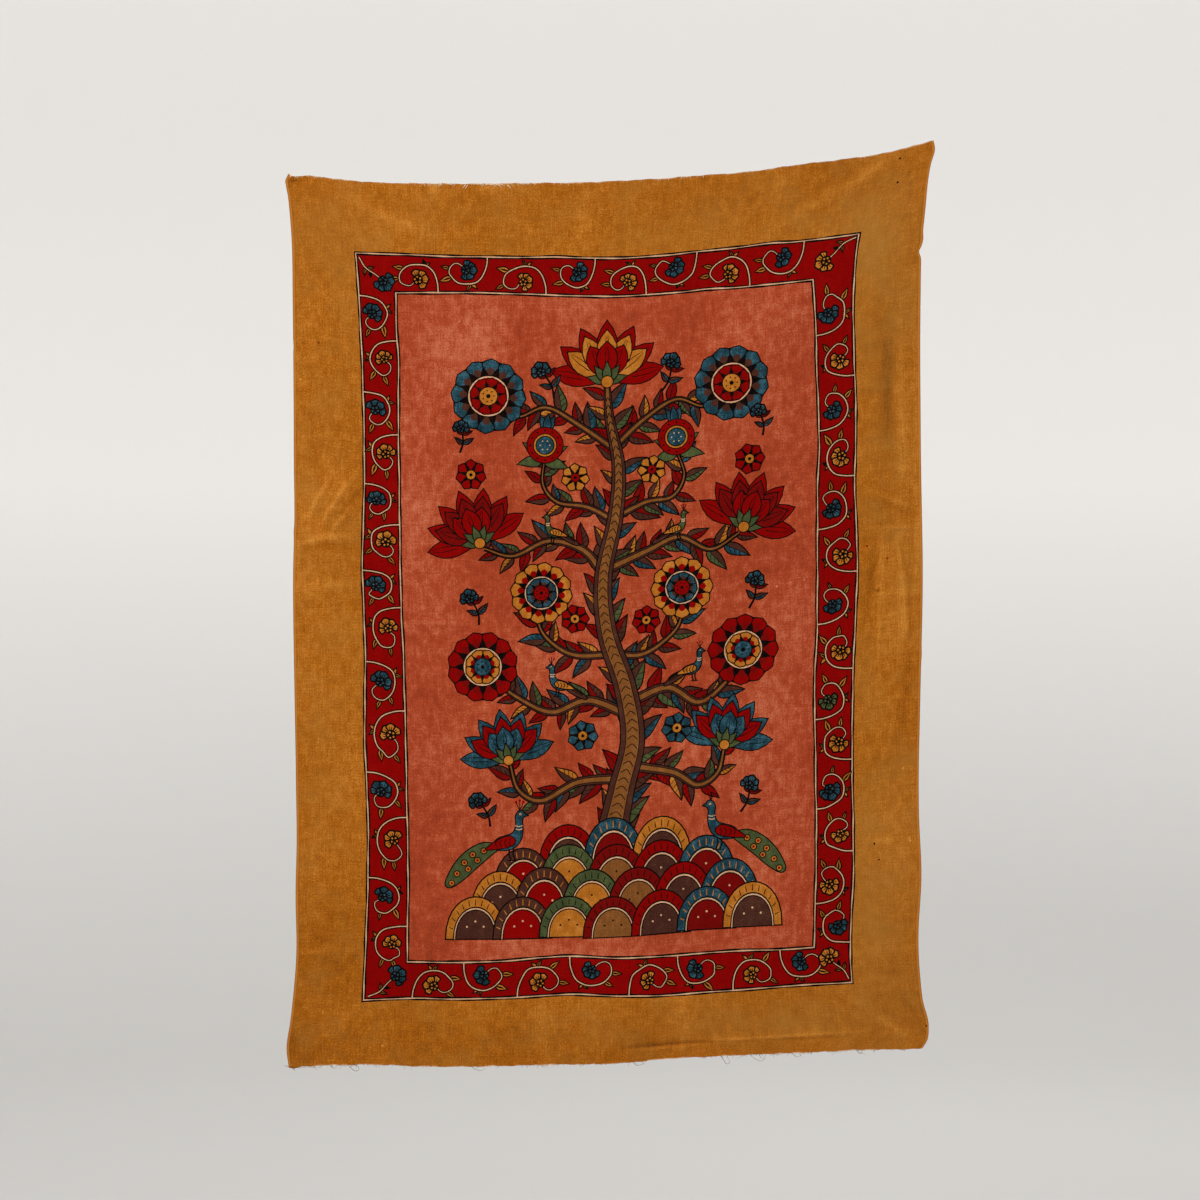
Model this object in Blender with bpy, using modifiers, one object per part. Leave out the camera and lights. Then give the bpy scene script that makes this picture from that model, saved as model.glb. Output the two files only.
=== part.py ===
"""A painted cotton panel, hung upright and held by its four corners.

The panel is one loom width of cotton, dyed and drawn on with a pen, with no lining, hem or rod. It is
modelled as it hangs: its corners are pulled out, its edges bow in between them, and the slack makes
shallow folds.

X runs across the panel, +Z is up, and the painted face looks along -Y. All of the cloth lies on the
front of the plane Y = 0, which it touches at its corners. The origin is on that plane, behind the
middle of the top edge.
"""

import math
from collections import namedtuple

import bpy
import numpy as np

MM = 0.001

# Driving sizes, in metres. Both long edges are selvedges, so the width is the loom's.
CLOTH_WIDTH = 1.130
CLOTH_HEIGHT = 1.600
CLOTH_THICKNESS = 0.001

# The grid of the sheet: its cells across and down, and how much closer its lines stand at the edges,
# as a share of the even spacing, because the corners turn tightly there.
CELLS_ACROSS = 40
CELLS_DOWN = 56
CLOSER_ACROSS = 0.30
CLOSER_DOWN = 0.45

# Each corner lies flat on the plane over this far from its tip, and lifts over the next stretch.
CORNER_FLAT_MM = 62
CORNER_LIFT_MM = 190

# How far the slack cloth stands off the plane halfway along each edge.
TOP_SWELL_MM = 3.5
BOTTOM_SWELL_MM = 6.5
SIDE_SWELL_MM = 3.0

# The hung outline, in millimetres from the origin. Columns: across_mm, height_mm
TOP_EDGE = [
    (-583, 10),
    (-530, 10),
    (-485, 4),
    (-440, 0),
    (-305, -4),
    (-125, -3),
    (0, 0),
    (145, 9),
    (235, 16),
    (325, 27),
    (415, 39),
    (505, 55),
    (582, 73),
]
BOTTOM_EDGE = [
    (-578, -1595),
    (-530, -1591),
    (-485, -1589),
    (-305, -1592),
    (-125, -1589),
    (0, -1586),
    (145, -1575),
    (325, -1567),
    (505, -1561),
    (562, -1560),
]
# Columns: height_mm, across_mm
LEFT_EDGE = [
    (10, -583),
    (-8, -583),
    (-24, -580),
    (-51, -577),
    (-105, -573),
    (-213, -571),
    (-429, -569),
    (-753, -570),
    (-1077, -565),
    (-1401, -564),
    (-1455, -569),
    (-1509, -575),
    (-1563, -582),
    (-1595, -578),
]
RIGHT_EDGE = [
    (73, 582),
    (57, 584),
    (30, 577),
    (3, 572),
    (-51, 565),
    (-105, 561),
    (-213, 558),
    (-483, 558),
    (-726, 562),
    (-933, 558),
    (-1095, 555),
    (-1428, 558),
    (-1473, 563),
    (-1520, 574),
    (-1545, 571),
    (-1560, 562),
]

# The main folds, each a soft ridge. Its middle is measured on the flat cloth from the upper left
# corner, and it points along heading, turned clockwise from straight right. A ridge has the height
# rise at its crest and falls to about a third of it at width to either side.
Fold = namedtuple("Fold", "name across_mm down_mm heading_deg length_mm width_mm rise_mm")
FOLDS = [
    Fold("pull from the upper left corner", 235, 265, 50, 560, 46, 4.5),
    Fold("pull from the upper right corner", 905, 250, 132, 600, 52, 5.5),
    Fold("second pull, upper right", 1010, 400, 106, 560, 32, 3.5),
    Fold("pull from the lower left corner", 190, 1410, -52, 440, 42, 4.0),
    Fold("pull from the lower right corner", 965, 1430, -128, 420, 44, 4.5),
    Fold("left billow", 430, 800, 87, 980, 105, 5.0),
    Fold("right billow", 745, 770, 94, 1040, 115, 5.5),
    Fold("slack by the left edge", 75, 600, 88, 620, 44, 4.0),
    Fold("crumple by the left edge", 70, 610, 118, 190, 24, 3.0),
    Fold("fold by the right edge", 1078, 690, 90, 720, 24, 4.5),
    Fold("inner fold by the right edge", 1022, 760, 93, 520, 26, 2.5),
    Fold("top edge, left wave", 340, 95, 88, 300, 44, 2.5),
    Fold("top edge, right wave", 700, 110, 94, 320, 50, 3.0),
    Fold("bottom edge, left wave", 330, 1500, 86, 400, 50, 4.0),
    Fold("bottom edge, middle wave", 585, 1480, 91, 460, 54, 4.5),
    Fold("bottom edge, right wave", 835, 1500, 95, 380, 46, 4.0),
]

OCHRE = (0.392, 0.133, 0.012, 1.0)
COTTON_ROUGHNESS = 0.9


def smooth_through(rows, at):
    """A smooth curve through the rows (station, value): between two rows it is the cubic that
    keeps the slope of the neighbouring rows at both ends."""
    station, value = np.array(sorted(rows), float).T
    slope = np.gradient(value, station)
    i = np.clip(np.searchsorted(station, at) - 1, 0, len(station) - 2)
    gap = station[i + 1] - station[i]
    f = (at - station[i]) / gap
    return (
        value[i] * (1 + 2 * f) * (1 - f) ** 2
        + slope[i] * gap * f * (1 - f) ** 2
        + value[i + 1] * f * f * (3 - 2 * f)
        + slope[i + 1] * gap * f * f * (f - 1)
    )


def between(start, end, share):
    return start + share * (end - start)


def ease(share):
    """From 0 to 1, level at both ends."""
    share = np.clip(share, 0, 1)
    return share * share * (3 - 2 * share)


def hang(s, t):
    """Where a point of the cloth hangs, as across and height in millimetres. s runs from 0 at the
    left edge to 1 at the right, and t from 0 at the top edge to 1 at the bottom. The surface is
    ruled from side to side and from top to bottom, less the plain one through the corners."""
    top_x = between(TOP_EDGE[0][0], TOP_EDGE[-1][0], s)
    bottom_x = between(BOTTOM_EDGE[0][0], BOTTOM_EDGE[-1][0], s)
    left_z = between(LEFT_EDGE[0][0], LEFT_EDGE[-1][0], t)
    right_z = between(RIGHT_EDGE[0][0], RIGHT_EDGE[-1][0], t)
    top_z = smooth_through(TOP_EDGE, top_x)
    bottom_z = smooth_through(BOTTOM_EDGE, bottom_x)
    left_x = smooth_through(LEFT_EDGE, left_z)
    right_x = smooth_through(RIGHT_EDGE, right_z)
    plain_x = between(top_x, bottom_x, t)
    plain_z = between(left_z, right_z, s)
    x = between(left_x, right_x, s) + plain_x - between(
        between(TOP_EDGE[0][0], BOTTOM_EDGE[0][0], t), between(TOP_EDGE[-1][0], BOTTOM_EDGE[-1][0], t), s
    )
    z = between(top_z, bottom_z, t) + plain_z - between(
        between(TOP_EDGE[0][1], TOP_EDGE[-1][1], s), between(BOTTOM_EDGE[0][1], BOTTOM_EDGE[-1][1], s), t
    )
    return x, z


def held_at_corners(across, down):
    """0 where a corner lies flat on the plane, and 1 away from all four corners."""
    free = 1.0
    for corner_x in (0, CLOTH_WIDTH / MM):
        for corner_y in (0, CLOTH_HEIGHT / MM):
            from_tip = np.hypot(across - corner_x, down - corner_y)
            free = free * ease((from_tip - CORNER_FLAT_MM) / CORNER_LIFT_MM)
    return free


def ridge(fold, across, down):
    """The height of one fold: a bell across it, and a flatter bell along it."""
    heading = math.radians(fold.heading_deg)
    x = across - fold.across_mm
    y = down - fold.down_mm
    along = x * math.cos(heading) + y * math.sin(heading)
    aside = y * math.cos(heading) - x * math.sin(heading)
    return (
        fold.rise_mm
        * np.exp(-((aside / fold.width_mm) ** 2))
        * np.exp(-((2 * along / fold.length_mm) ** 4))
    )


def stand_off(s, t):
    """How far the back of the cloth stands off the plane, in millimetres."""
    across = s * CLOTH_WIDTH / MM
    down = t * CLOTH_HEIGHT / MM
    swell = between(TOP_SWELL_MM, BOTTOM_SWELL_MM, t) * np.sin(np.pi * s) ** 0.7
    swell = swell + SIDE_SWELL_MM * np.sin(np.pi * t) ** 0.7
    folds = sum(ridge(fold, across, down) for fold in FOLDS)
    return held_at_corners(across, down) * (swell + folds)


def closer_at_ends(share, closer):
    """Moves the evenly spaced lines of the grid towards both ends."""
    return share - closer * np.sin(2 * np.pi * share) / (2 * np.pi)


def dyed_cotton():
    material = bpy.data.materials.new("dyed_cotton")
    material.use_nodes = True
    shader = material.node_tree.nodes["Principled BSDF"]
    shader.inputs["Base Color"].default_value = OCHRE
    shader.inputs["Roughness"].default_value = COTTON_ROUGHNESS
    shader.inputs["Metallic"].default_value = 0.0
    return material


def make_cloth(collection):
    """The sheet: a flat grid whose points are moved to where the back of the cloth hangs, and then
    thickened on its painted side."""
    bpy.ops.mesh.primitive_grid_add(x_subdivisions=CELLS_ACROSS, y_subdivisions=CELLS_DOWN, size=1)
    cloth = bpy.context.active_object
    cloth.name = "cloth"
    mesh = cloth.data

    flat = np.empty(3 * len(mesh.vertices))
    mesh.vertices.foreach_get("co", flat)
    flat = flat.reshape(-1, 3)
    s = np.clip(closer_at_ends(flat[:, 0] + 0.5, CLOSER_ACROSS), 0, 1)
    t = np.clip(closer_at_ends(0.5 - flat[:, 1], CLOSER_DOWN), 0, 1)
    x, z = hang(s, t)
    hung = np.stack([x, -stand_off(s, t), z], axis=1) * MM
    mesh.vertices.foreach_set("co", hung.ravel())
    mesh.update()
    mesh.shade_smooth()

    thicken = cloth.modifiers.new("thickness", "SOLIDIFY")
    thicken.thickness = CLOTH_THICKNESS
    thicken.offset = 1.0
    cloth.data.materials.append(dyed_cotton())
    for other in list(cloth.users_collection):
        other.objects.unlink(cloth)
    collection.objects.link(cloth)
    return cloth


def main():
    for old in list(bpy.data.objects):
        bpy.data.objects.remove(old)
    panel = bpy.data.collections.new("kalamkari panel")
    bpy.context.scene.collection.children.link(panel)
    make_cloth(panel)


main()
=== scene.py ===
# %% [markdown]
# A painted and dyed cotton panel, as a lesson in cells. The real thing is one loom width of plain-woven
# cotton. Its maker boiled it in milk and myrobalan, drew on it with a bamboo pen and iron ink, brushed
# on madder, pomegranate rind and indigo, and washed it between the dyes. It hangs by its four corners.
#
# There are three hard parts. The drawing has hundreds of sharp outlines, and no picture file is used,
# so each dyed field is a region of the mesh. The sheet has the soft folds of cloth that is pulled at its
# corners. The dyes are uneven, as hand-brushed dye on hand-washed cloth is.
#
# The panel's solid is loaded first. It is the fixed frame that every piece here is measured against.

# %% The frame
import math
from collections import namedtuple

import bpy
import numpy as np
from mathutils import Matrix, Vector
from mathutils.geometry import delaunay_2d_cdt


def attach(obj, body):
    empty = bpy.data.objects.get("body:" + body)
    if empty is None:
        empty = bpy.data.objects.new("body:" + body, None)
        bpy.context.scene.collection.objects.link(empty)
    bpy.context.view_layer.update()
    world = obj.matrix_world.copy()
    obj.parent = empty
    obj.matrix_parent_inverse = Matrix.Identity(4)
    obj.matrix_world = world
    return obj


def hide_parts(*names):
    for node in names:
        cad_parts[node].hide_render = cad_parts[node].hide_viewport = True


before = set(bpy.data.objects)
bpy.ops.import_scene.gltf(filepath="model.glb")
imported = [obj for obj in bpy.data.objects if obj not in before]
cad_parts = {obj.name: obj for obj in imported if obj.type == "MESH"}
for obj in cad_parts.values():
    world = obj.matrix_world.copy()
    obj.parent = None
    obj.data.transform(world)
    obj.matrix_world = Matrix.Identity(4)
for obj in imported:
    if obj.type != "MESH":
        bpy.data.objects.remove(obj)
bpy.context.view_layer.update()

# %% [markdown]
# Every size below is in millimetres on the flat cloth: across from its left edge, and down from its top
# edge. A painter works on the flat cloth too, so the drawing is laid out there, and the finished mesh is
# hung afterwards. The hanging uses the same edge tables and folds as the solid.

# %% The cloth's real sizes, and how it hangs
MM = 0.001
CLOTH_WIDTH = 1130.0
CLOTH_HEIGHT = 1600.0
THREAD_THICKNESS = 0.6

CORNER_FLAT = 62.0
CORNER_LIFT = 190.0
TOP_SWELL = 3.5
BOTTOM_SWELL = 6.5
SIDE_SWELL = 3.0

# Columns: across, height
TOP_EDGE = [(-583, 10), (-530, 10), (-485, 4), (-440, 0), (-305, -4), (-125, -3), (0, 0), (145, 9),
            (235, 16), (325, 27), (415, 39), (505, 55), (582, 73)]
BOTTOM_EDGE = [(-578, -1595), (-530, -1591), (-485, -1589), (-305, -1592), (-125, -1589), (0, -1586),
               (145, -1575), (325, -1567), (505, -1561), (562, -1560)]
# Columns: height, across
LEFT_EDGE = [(10, -583), (-8, -583), (-24, -580), (-51, -577), (-105, -573), (-213, -571), (-429, -569),
             (-753, -570), (-1077, -565), (-1401, -564), (-1455, -569), (-1509, -575), (-1563, -582),
             (-1595, -578)]
RIGHT_EDGE = [(73, 582), (57, 584), (30, 577), (3, 572), (-51, 565), (-105, 561), (-213, 558),
              (-483, 558), (-726, 562), (-933, 558), (-1095, 555), (-1428, 558), (-1473, 563),
              (-1520, 574), (-1545, 571), (-1560, 562)]

# Each fold or crease is a soft ridge, or a trough where its rise is negative. Heading is turned
# clockwise from straight right.
Fold = namedtuple("Fold", "across down heading_deg length width rise")
FOLDS = [
    Fold(235, 265, 50, 560, 46, 4.5),
    Fold(905, 250, 132, 600, 52, 5.5),
    Fold(1010, 400, 106, 560, 32, 3.5),
    Fold(190, 1410, -52, 440, 42, 4.0),
    Fold(965, 1430, -128, 420, 44, 4.5),
    Fold(430, 800, 87, 980, 105, 5.0),
    Fold(745, 770, 94, 1040, 115, 5.5),
    Fold(75, 600, 88, 620, 44, 4.0),
    Fold(70, 610, 118, 190, 24, 3.0),
    Fold(1078, 690, 90, 720, 24, 4.5),
    Fold(1022, 760, 93, 520, 26, 2.5),
    Fold(340, 95, 88, 300, 44, 2.5),
    Fold(700, 110, 94, 320, 50, 3.0),
    Fold(330, 1500, 86, 400, 50, 4.0),
    Fold(585, 1480, 91, 460, 54, 4.5),
    Fold(835, 1500, 95, 380, 46, 4.0),
]


# %% [markdown]
# Hanging moves a point of the flat cloth to its real place, in two parts. The edge tables say where
# the point is seen from the front, and the folds say how far it stands off the plane behind. Both are
# smooth, so the cloth has no kinks.

# %% The solid's outline, folds and hanging
def smooth_through(rows, at):
    """A smooth curve through the rows (station, value): between two rows it is the cubic that keeps
    the slope of the neighbouring rows at both ends."""
    station, value = np.array(sorted(rows), float).T
    slope = np.gradient(value, station)
    i = np.clip(np.searchsorted(station, at) - 1, 0, len(station) - 2)
    gap = station[i + 1] - station[i]
    f = (at - station[i]) / gap
    return (
        value[i] * (1 + 2 * f) * (1 - f) ** 2
        + slope[i] * gap * f * (1 - f) ** 2
        + value[i + 1] * f * f * (3 - 2 * f)
        + slope[i + 1] * gap * f * f * (f - 1)
    )


def between(start, end, share):
    return start + share * (end - start)


def ease(share):
    """From 0 to 1, level at both ends: 3 f squared less 2 f cubed."""
    share = np.clip(share, 0, 1)
    return share * share * (3 - 2 * share)


def hang(across, down):
    """Where points of the flat cloth hang, as across and height from the middle of the top edge. The
    surface is ruled from side to side and from top to bottom, less the plain one through the corners."""
    s = across / CLOTH_WIDTH
    t = down / CLOTH_HEIGHT
    top_x = between(TOP_EDGE[0][0], TOP_EDGE[-1][0], s)
    bottom_x = between(BOTTOM_EDGE[0][0], BOTTOM_EDGE[-1][0], s)
    left_z = between(LEFT_EDGE[0][0], LEFT_EDGE[-1][0], t)
    right_z = between(RIGHT_EDGE[0][0], RIGHT_EDGE[-1][0], t)
    corners_x = between(
        between(TOP_EDGE[0][0], BOTTOM_EDGE[0][0], t), between(TOP_EDGE[-1][0], BOTTOM_EDGE[-1][0], t), s
    )
    corners_z = between(
        between(TOP_EDGE[0][1], TOP_EDGE[-1][1], s), between(BOTTOM_EDGE[0][1], BOTTOM_EDGE[-1][1], s), t
    )
    sides_x = between(smooth_through(LEFT_EDGE, left_z), smooth_through(RIGHT_EDGE, right_z), s)
    ends_z = between(smooth_through(TOP_EDGE, top_x), smooth_through(BOTTOM_EDGE, bottom_x), t)
    x = sides_x + between(top_x, bottom_x, t) - corners_x
    z = ends_z + between(left_z, right_z, s) - corners_z
    return x, z


def held_at_corners(across, down):
    """0 where a corner lies flat on the hanging plane, and 1 away from all four corners."""
    free = 1.0
    for corner_across in (0, CLOTH_WIDTH):
        for corner_down in (0, CLOTH_HEIGHT):
            from_tip = np.hypot(across - corner_across, down - corner_down)
            free = free * ease((from_tip - CORNER_FLAT) / CORNER_LIFT)
    return free


def ridge(fold, across, down):
    """The height of one fold: a bell across it, and a flatter bell along it."""
    heading = math.radians(fold.heading_deg)
    x = across - fold.across
    y = down - fold.down
    along = x * math.cos(heading) + y * math.sin(heading)
    aside = y * math.cos(heading) - x * math.sin(heading)
    return fold.rise * np.exp(-((aside / fold.width) ** 2)) * np.exp(-((2 * along / fold.length) ** 4))


def stand_off(across, down):
    """How far the solid's back stands off the hanging plane: the slack's swell and the main folds."""
    s = np.clip(across / CLOTH_WIDTH, 0, 1)
    t = np.clip(down / CLOTH_HEIGHT, 0, 1)
    swell = between(TOP_SWELL, BOTTOM_SWELL, t) * np.sin(np.pi * s) ** 0.7
    swell = swell + SIDE_SWELL * np.sin(np.pi * t) ** 0.7
    return held_at_corners(across, down) * (swell + sum(ridge(fold, across, down) for fold in FOLDS))


corners_across = np.array([0, CLOTH_WIDTH, 0, CLOTH_WIDTH])
corners_down = np.array([0, 0, CLOTH_HEIGHT, CLOTH_HEIGHT])
corner_x, corner_z = hang(corners_across, corners_down)
print("the corners hang at, in mm:", list(zip(corner_x.round(), corner_z.round())))

# %% [markdown]
# The painter has two tools: a pen that leaves a thin line of black iron ink, and a brush or a rag that
# fills a shape with dye. The same two tools are enough here. The painting is a list in the order of the
# work: each entry is a dye and a closed outline, and a later one covers an earlier one. A pen line round
# a shape is the same outline twice, a little larger in ink and a little smaller in its dye.
#
# An image would be easier, but it has one fixed sharpness. Outlines stay sharp at any distance.

# %% The pen and the brush
painting = []


def turned_one_way(points):
    """The outline listed so that its area comes out positive. The area is half the sum of the cross
    products of neighbouring points."""
    points = np.asarray(points, float)
    after = np.roll(points, -1, 0)
    area = (points[:, 0] * after[:, 1] - points[:, 1] * after[:, 0]).sum() / 2
    return points if area > 0 else points[::-1]


def grown(points, by):
    """A closed outline with each side moved out by that much, or in if it is negative. A corner goes
    along the mean of its two sides' outward directions, and at most twice as far as they do."""
    ahead = np.roll(points, -1, 0) - points
    ahead = ahead / np.maximum(np.linalg.norm(ahead, axis=1), 1e-9)[:, None]
    side = np.stack([ahead[:, 1], -ahead[:, 0]], 1)
    mean = side + np.roll(side, 1, 0)
    reach = np.maximum((mean * side).sum(1), 0.5)
    return points + by * mean / reach[:, None]


def dye_in(dye, points):
    painting.append((dye, turned_one_way(points)))


def outlined(dye, points, line):
    """A shape filled with a dye inside a line of ink that straddles its edge."""
    points = turned_one_way(points)
    painting.append(("ink", grown(points, line / 2)))
    painting.append((dye, grown(points, -line / 2)))


# %% [markdown]
# A stroke follows a smooth curve through a few points. Its outline is the curve moved to both sides by
# half a width, which may swell and taper along it as a bamboo pen's line does.

# %% Curves and strokes
def curve(points, spacing, closed=False):
    """A smooth line through the points. Between two of them it is the cubic whose slope at each is
    that of the straight line through its two neighbours."""
    points = np.asarray(points, float)
    if closed:
        around = np.concatenate([points[-1:], points, points[:2]])
    else:
        around = np.concatenate([2 * points[:1] - points[1:2], points, 2 * points[-1:] - points[-2:-1]])
    line = []
    for a, b, c, d in zip(around, around[1:], around[2:], around[3:]):
        steps = max(2, math.ceil(np.linalg.norm((c - b)[:2]) / spacing))
        f = np.linspace(0, 1, steps, endpoint=False)[:, None]
        line.append(
            b + f * (c - a) / 2 + f**2 * (a - 2.5 * b + 2 * c - d / 2) + f**3 * (1.5 * (b - c) + (d - a) / 2)
        )
    if not closed:
        line.append(points[-1:])
    return np.concatenate(line)


def beside(line):
    """The unit direction to the right of a line at each of its points."""
    ahead = np.gradient(line, axis=0)
    ahead = ahead / np.maximum(np.linalg.norm(ahead, axis=1), 1e-9)[:, None]
    return np.stack([-ahead[:, 1], ahead[:, 0]], 1)


def stroke(dye, line, start, end=None, middle=None):
    """A brush stroke: the line moved to both sides by half its width, which runs from start to end,
    by way of middle."""
    line = np.asarray(line, float)
    end = start if end is None else end
    middle = (start + end) / 2 if middle is None else middle
    width = np.interp(np.linspace(0, 1, len(line)), [0, 0.5, 1], [start, middle, end])
    side = beside(line) * width[:, None] / 2
    dye_in(dye, np.concatenate([line + side, (line - side)[::-1]]))


# %% [markdown]
# Each motif is drawn once, round the point (0, 0) and pointing right, and then scaled, turned and
# moved to its place. Long ruled lines are shaken a little, because a hand drew them.

# %% Placing what is drawn
def placed(points, at, heading_deg=0.0, size=1.0):
    """Points drawn round (0, 0) and pointing right, put on the cloth: scaled, turned clockwise and
    moved to at."""
    c = math.cos(math.radians(heading_deg))
    s = math.sin(math.radians(heading_deg))
    return size * np.asarray(points, float) @ np.array([[c, s], [-s, c]]) + np.asarray(at, float)


def heading_of(way):
    return math.degrees(math.atan2(way[1], way[0]))


def ring(at, radius, sides=10):
    a = np.arange(sides) * 2 * math.pi / sides
    return radius * np.stack([np.cos(a), np.sin(a)], 1) + np.asarray(at, float)


def unsteady(line, amount, phase):
    """A hand-held pen's slight unevenness: each point moves by two slow waves of its place."""
    u, v = line[:, 0], line[:, 1]
    du = np.sin(v / 17 + phase) + 0.6 * np.sin((u + v) / 7.3 + 2 * phase)
    dv = np.sin(u / 16 + 1.7 * phase) + 0.6 * np.sin((u - v) / 6.7 + 3 * phase)
    return line + amount * np.stack([du, dv], 1)


outlined("madder", ring((0, 0), 10), 2)
print("a dot of 10 mm is", len(painting), "outlines of", len(painting[0][1]), "points")
painting.clear()

# %% [markdown]
# A petal and a leaf are each one formula. Half a petal's width is a sine over its length. Raising the
# sine to a power below 1 makes the tip round, and for a leaf it falls off towards a point. No two are
# quite alike in the real painting, so each is drawn with a few per cent of chance in its size and turn.

# %% Petals, leaves and dots
# The widths of pen lines: round the border's leaves, round its flowers and round a plain dot
LEAF_PEN = 2.4
FLOWER_PEN = 2.9
DOT_PEN = 1.9


def petal(length, width, steps=7):
    """A round petal from (0, 0) to (length, 0): half its width is a sine of f to the power 1.8."""
    f = np.linspace(0, 1, steps + 1)
    half = width / 2 * np.sin(math.pi * f**1.8) ** 0.75
    edge = np.stack([f * length, half], 1)
    return np.concatenate([edge, edge[-2:0:-1] * (1, -1)])


def leaf_outline(length, width, steps=6, bend=0.0):
    """A pointed leaf from (0, 0) to (length, 0): half its width is a sine that is drawn out towards
    the tip, and its midrib bends sideways by bend times its length."""
    f = np.linspace(0, 1, steps + 1)
    half = width / 2 * np.sin(math.pi * f**0.8) * (1 - 0.35 * f)
    sag = bend * length * np.sin(math.pi * f * 0.5) ** 2
    near = np.stack([f * length, sag + half], 1)
    far = np.stack([f * length, sag - half], 1)
    return np.concatenate([near, far[-2:0:-1]])


def leaf(at, heading, length, dye="yellow", line=LEAF_PEN, rib=True, bend=0.0, width_share=0.52):
    outlined(dye, placed(leaf_outline(length, width_share * length, bend=bend), at, heading), line)
    if rib:
        along = np.array([0.05, 0.4, 0.75])
        midrib = length * np.stack([along, bend * np.sin(math.pi * along * 0.5) ** 2], 1)
        stroke("ink", placed(midrib, at, heading), 1.3, 0.9, 1.3 + 0.1 * length)


def veined_leaf(at, heading, length, dye, shade, bend):
    """A large leaf: ink all over, then a dye on one side of the midrib and a darker one on the other,
    so that the midrib is left black, and three veins on the lighter side."""
    width = 0.5 * length
    dye_in("ink", placed(grown(turned_one_way(leaf_outline(length, width, 7, bend)), 1.1), at, heading))
    f = np.linspace(0.05, 0.92, 6)
    sag = bend * length * np.sin(math.pi * f * 0.5) ** 2
    half = width / 2 * np.sin(math.pi * f**0.8) * (1 - 0.35 * f)
    for side, fill in ((1, dye), (-1, shade)):
        edge = np.stack([f * length, sag + side * np.maximum(half - 1.3, 0.8)], 1)
        rib = np.stack([f * length, sag + side * 0.7], 1)
        dye_in(fill, placed(np.concatenate([edge, rib[::-1]]), at, heading))
    for k in (1, 2, 3):
        vein = [(f[k] * length, sag[k]), (f[k] * length + 0.8 * half[k], sag[k] + 0.8 * half[k])]
        stroke("ink", placed(vein, at, heading), 1.4, 0.9)


def dot(dye, at, radius, sides=12):
    outlined(dye, ring(at, radius, sides), DOT_PEN)


def dotted_ring(at, radius, count, dye, size):
    for a in np.arange(count) * 2 * math.pi / count:
        seat = np.asarray(at, float) + radius * np.array([math.cos(a), math.sin(a)])
        dye_in(dye, ring(seat, size, 6))


leaf((0, 0), 0, 20)
print("a small leaf takes", sum(len(outline) for dye, outline in painting), "points")
painting.clear()

# %% [markdown]
# The border is a red band between two ruled lines, with a scroll that springs from the outer line and
# the inner line in turn, and curls back round a flower. Nobody measured it out: the lines waver, and
# the scrolls vary in reach. So the lines and each scroll's two ends are read off the cloth into tables,
# and one rule draws every scroll between its own ends. The scrolls grow one way all round.

# %% The border's lines and scrolls
# The two ruled lines, where their middles run, clockwise from the upper left corner.
OUTER_LINE = {
    "top": [(114, 132), (140, 131), (200, 130), (275, 132), (425, 135), (475, 135), (525, 138), (600, 141),
            (675, 141), (725, 139), (850, 136), (900, 139), (1015, 141)],
    "right": [(1015, 141), (1011, 190), (1009, 280), (1014, 465), (1011, 590), (1013, 715), (1010, 815),
              (1007, 916), (1008, 1079), (1011, 1195), (1012, 1295), (1007, 1406), (1006, 1478)],
    "bottom": [(1006, 1478), (900, 1479), (800, 1482), (700, 1484), (650, 1483), (605, 1479), (550, 1475),
               (495, 1472), (404, 1476), (275, 1477), (215, 1477), (128, 1483)],
    "left": [(128, 1483), (125, 1385), (127, 1295), (130, 1145), (126, 1010), (129, 870), (128, 795),
             (125, 690), (128, 548), (126, 382), (122, 265), (117, 165), (114, 132)],
}
INNER_LINE = {
    "top": [(186, 200), (262, 198), (325, 198), (410, 201), (525, 207), (600, 210), (700, 210), (750, 208),
            (822, 210), (935, 212)],
    "right": [(935, 212), (941, 280), (944, 365), (948, 500), (944, 590), (941, 765), (941, 845), (938, 945),
              (941, 1045), (945, 1220), (944, 1334), (941, 1412)],
    "bottom": [(941, 1412), (879, 1413), (800, 1411), (693, 1413), (600, 1410), (500, 1403), (450, 1405),
               (360, 1410), (202, 1411)],
    "left": [(202, 1411), (200, 1347), (201, 1195), (200, 1020), (197, 845), (194, 765), (191, 565),
             (189, 440), (190, 330), (187, 270), (186, 200)],
}
SIDES = ("top", "right", "bottom", "left")
GROWS = {"top": (-1, 0), "left": (0, 1), "bottom": (1, 0), "right": (0, -1)}
INWARD = {"top": (0, 1), "left": (1, 0), "bottom": (0, -1), "right": (-1, 0)}

# The scrolls spring from the outer and the inner line in turn, and their flowers are indigo and yellow
# in turn. Columns: first scroll's line, its flower's dye, and each one's root and far end along the side
SCROLLS = {
    "top": ("inner", "yellow", [(262, 192), (350, 281), (456, 379), (543, 482), (636, 572), (725, 652),
                                (822, 750), (917, 845)]),
    "left": ("outer", "indigo", [(208, 268), (287, 350), (382, 440), (457, 521), (548, 601), (620, 679),
                                 (705, 756), (770, 843), (870, 939), (957, 1040), (1070, 1134),
                                 (1150, 1231), (1261, 1324), (1347, 1410)]),
    "bottom": ("outer", "yellow", [(215, 287), (305, 375), (404, 478), (497, 574), (605, 673),
                                   (693, 760), (792, 862), (879, 951)]),
    "right": ("inner", "indigo", [(313, 243), (393, 334), (485, 420), (572, 504), (662, 596), (743, 682),
                                  (832, 770), (916, 855), (1003, 939), (1079, 1020), (1164, 1103),
                                  (1243, 1184), (1334, 1270), (1406, 1348)]),
}
# The flowers that break the turn, by side and root
ODD_FLOWERS = {("right", 1003): "green", ("right", 1334): "yellow", ("right", 1406): "indigo"}
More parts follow.
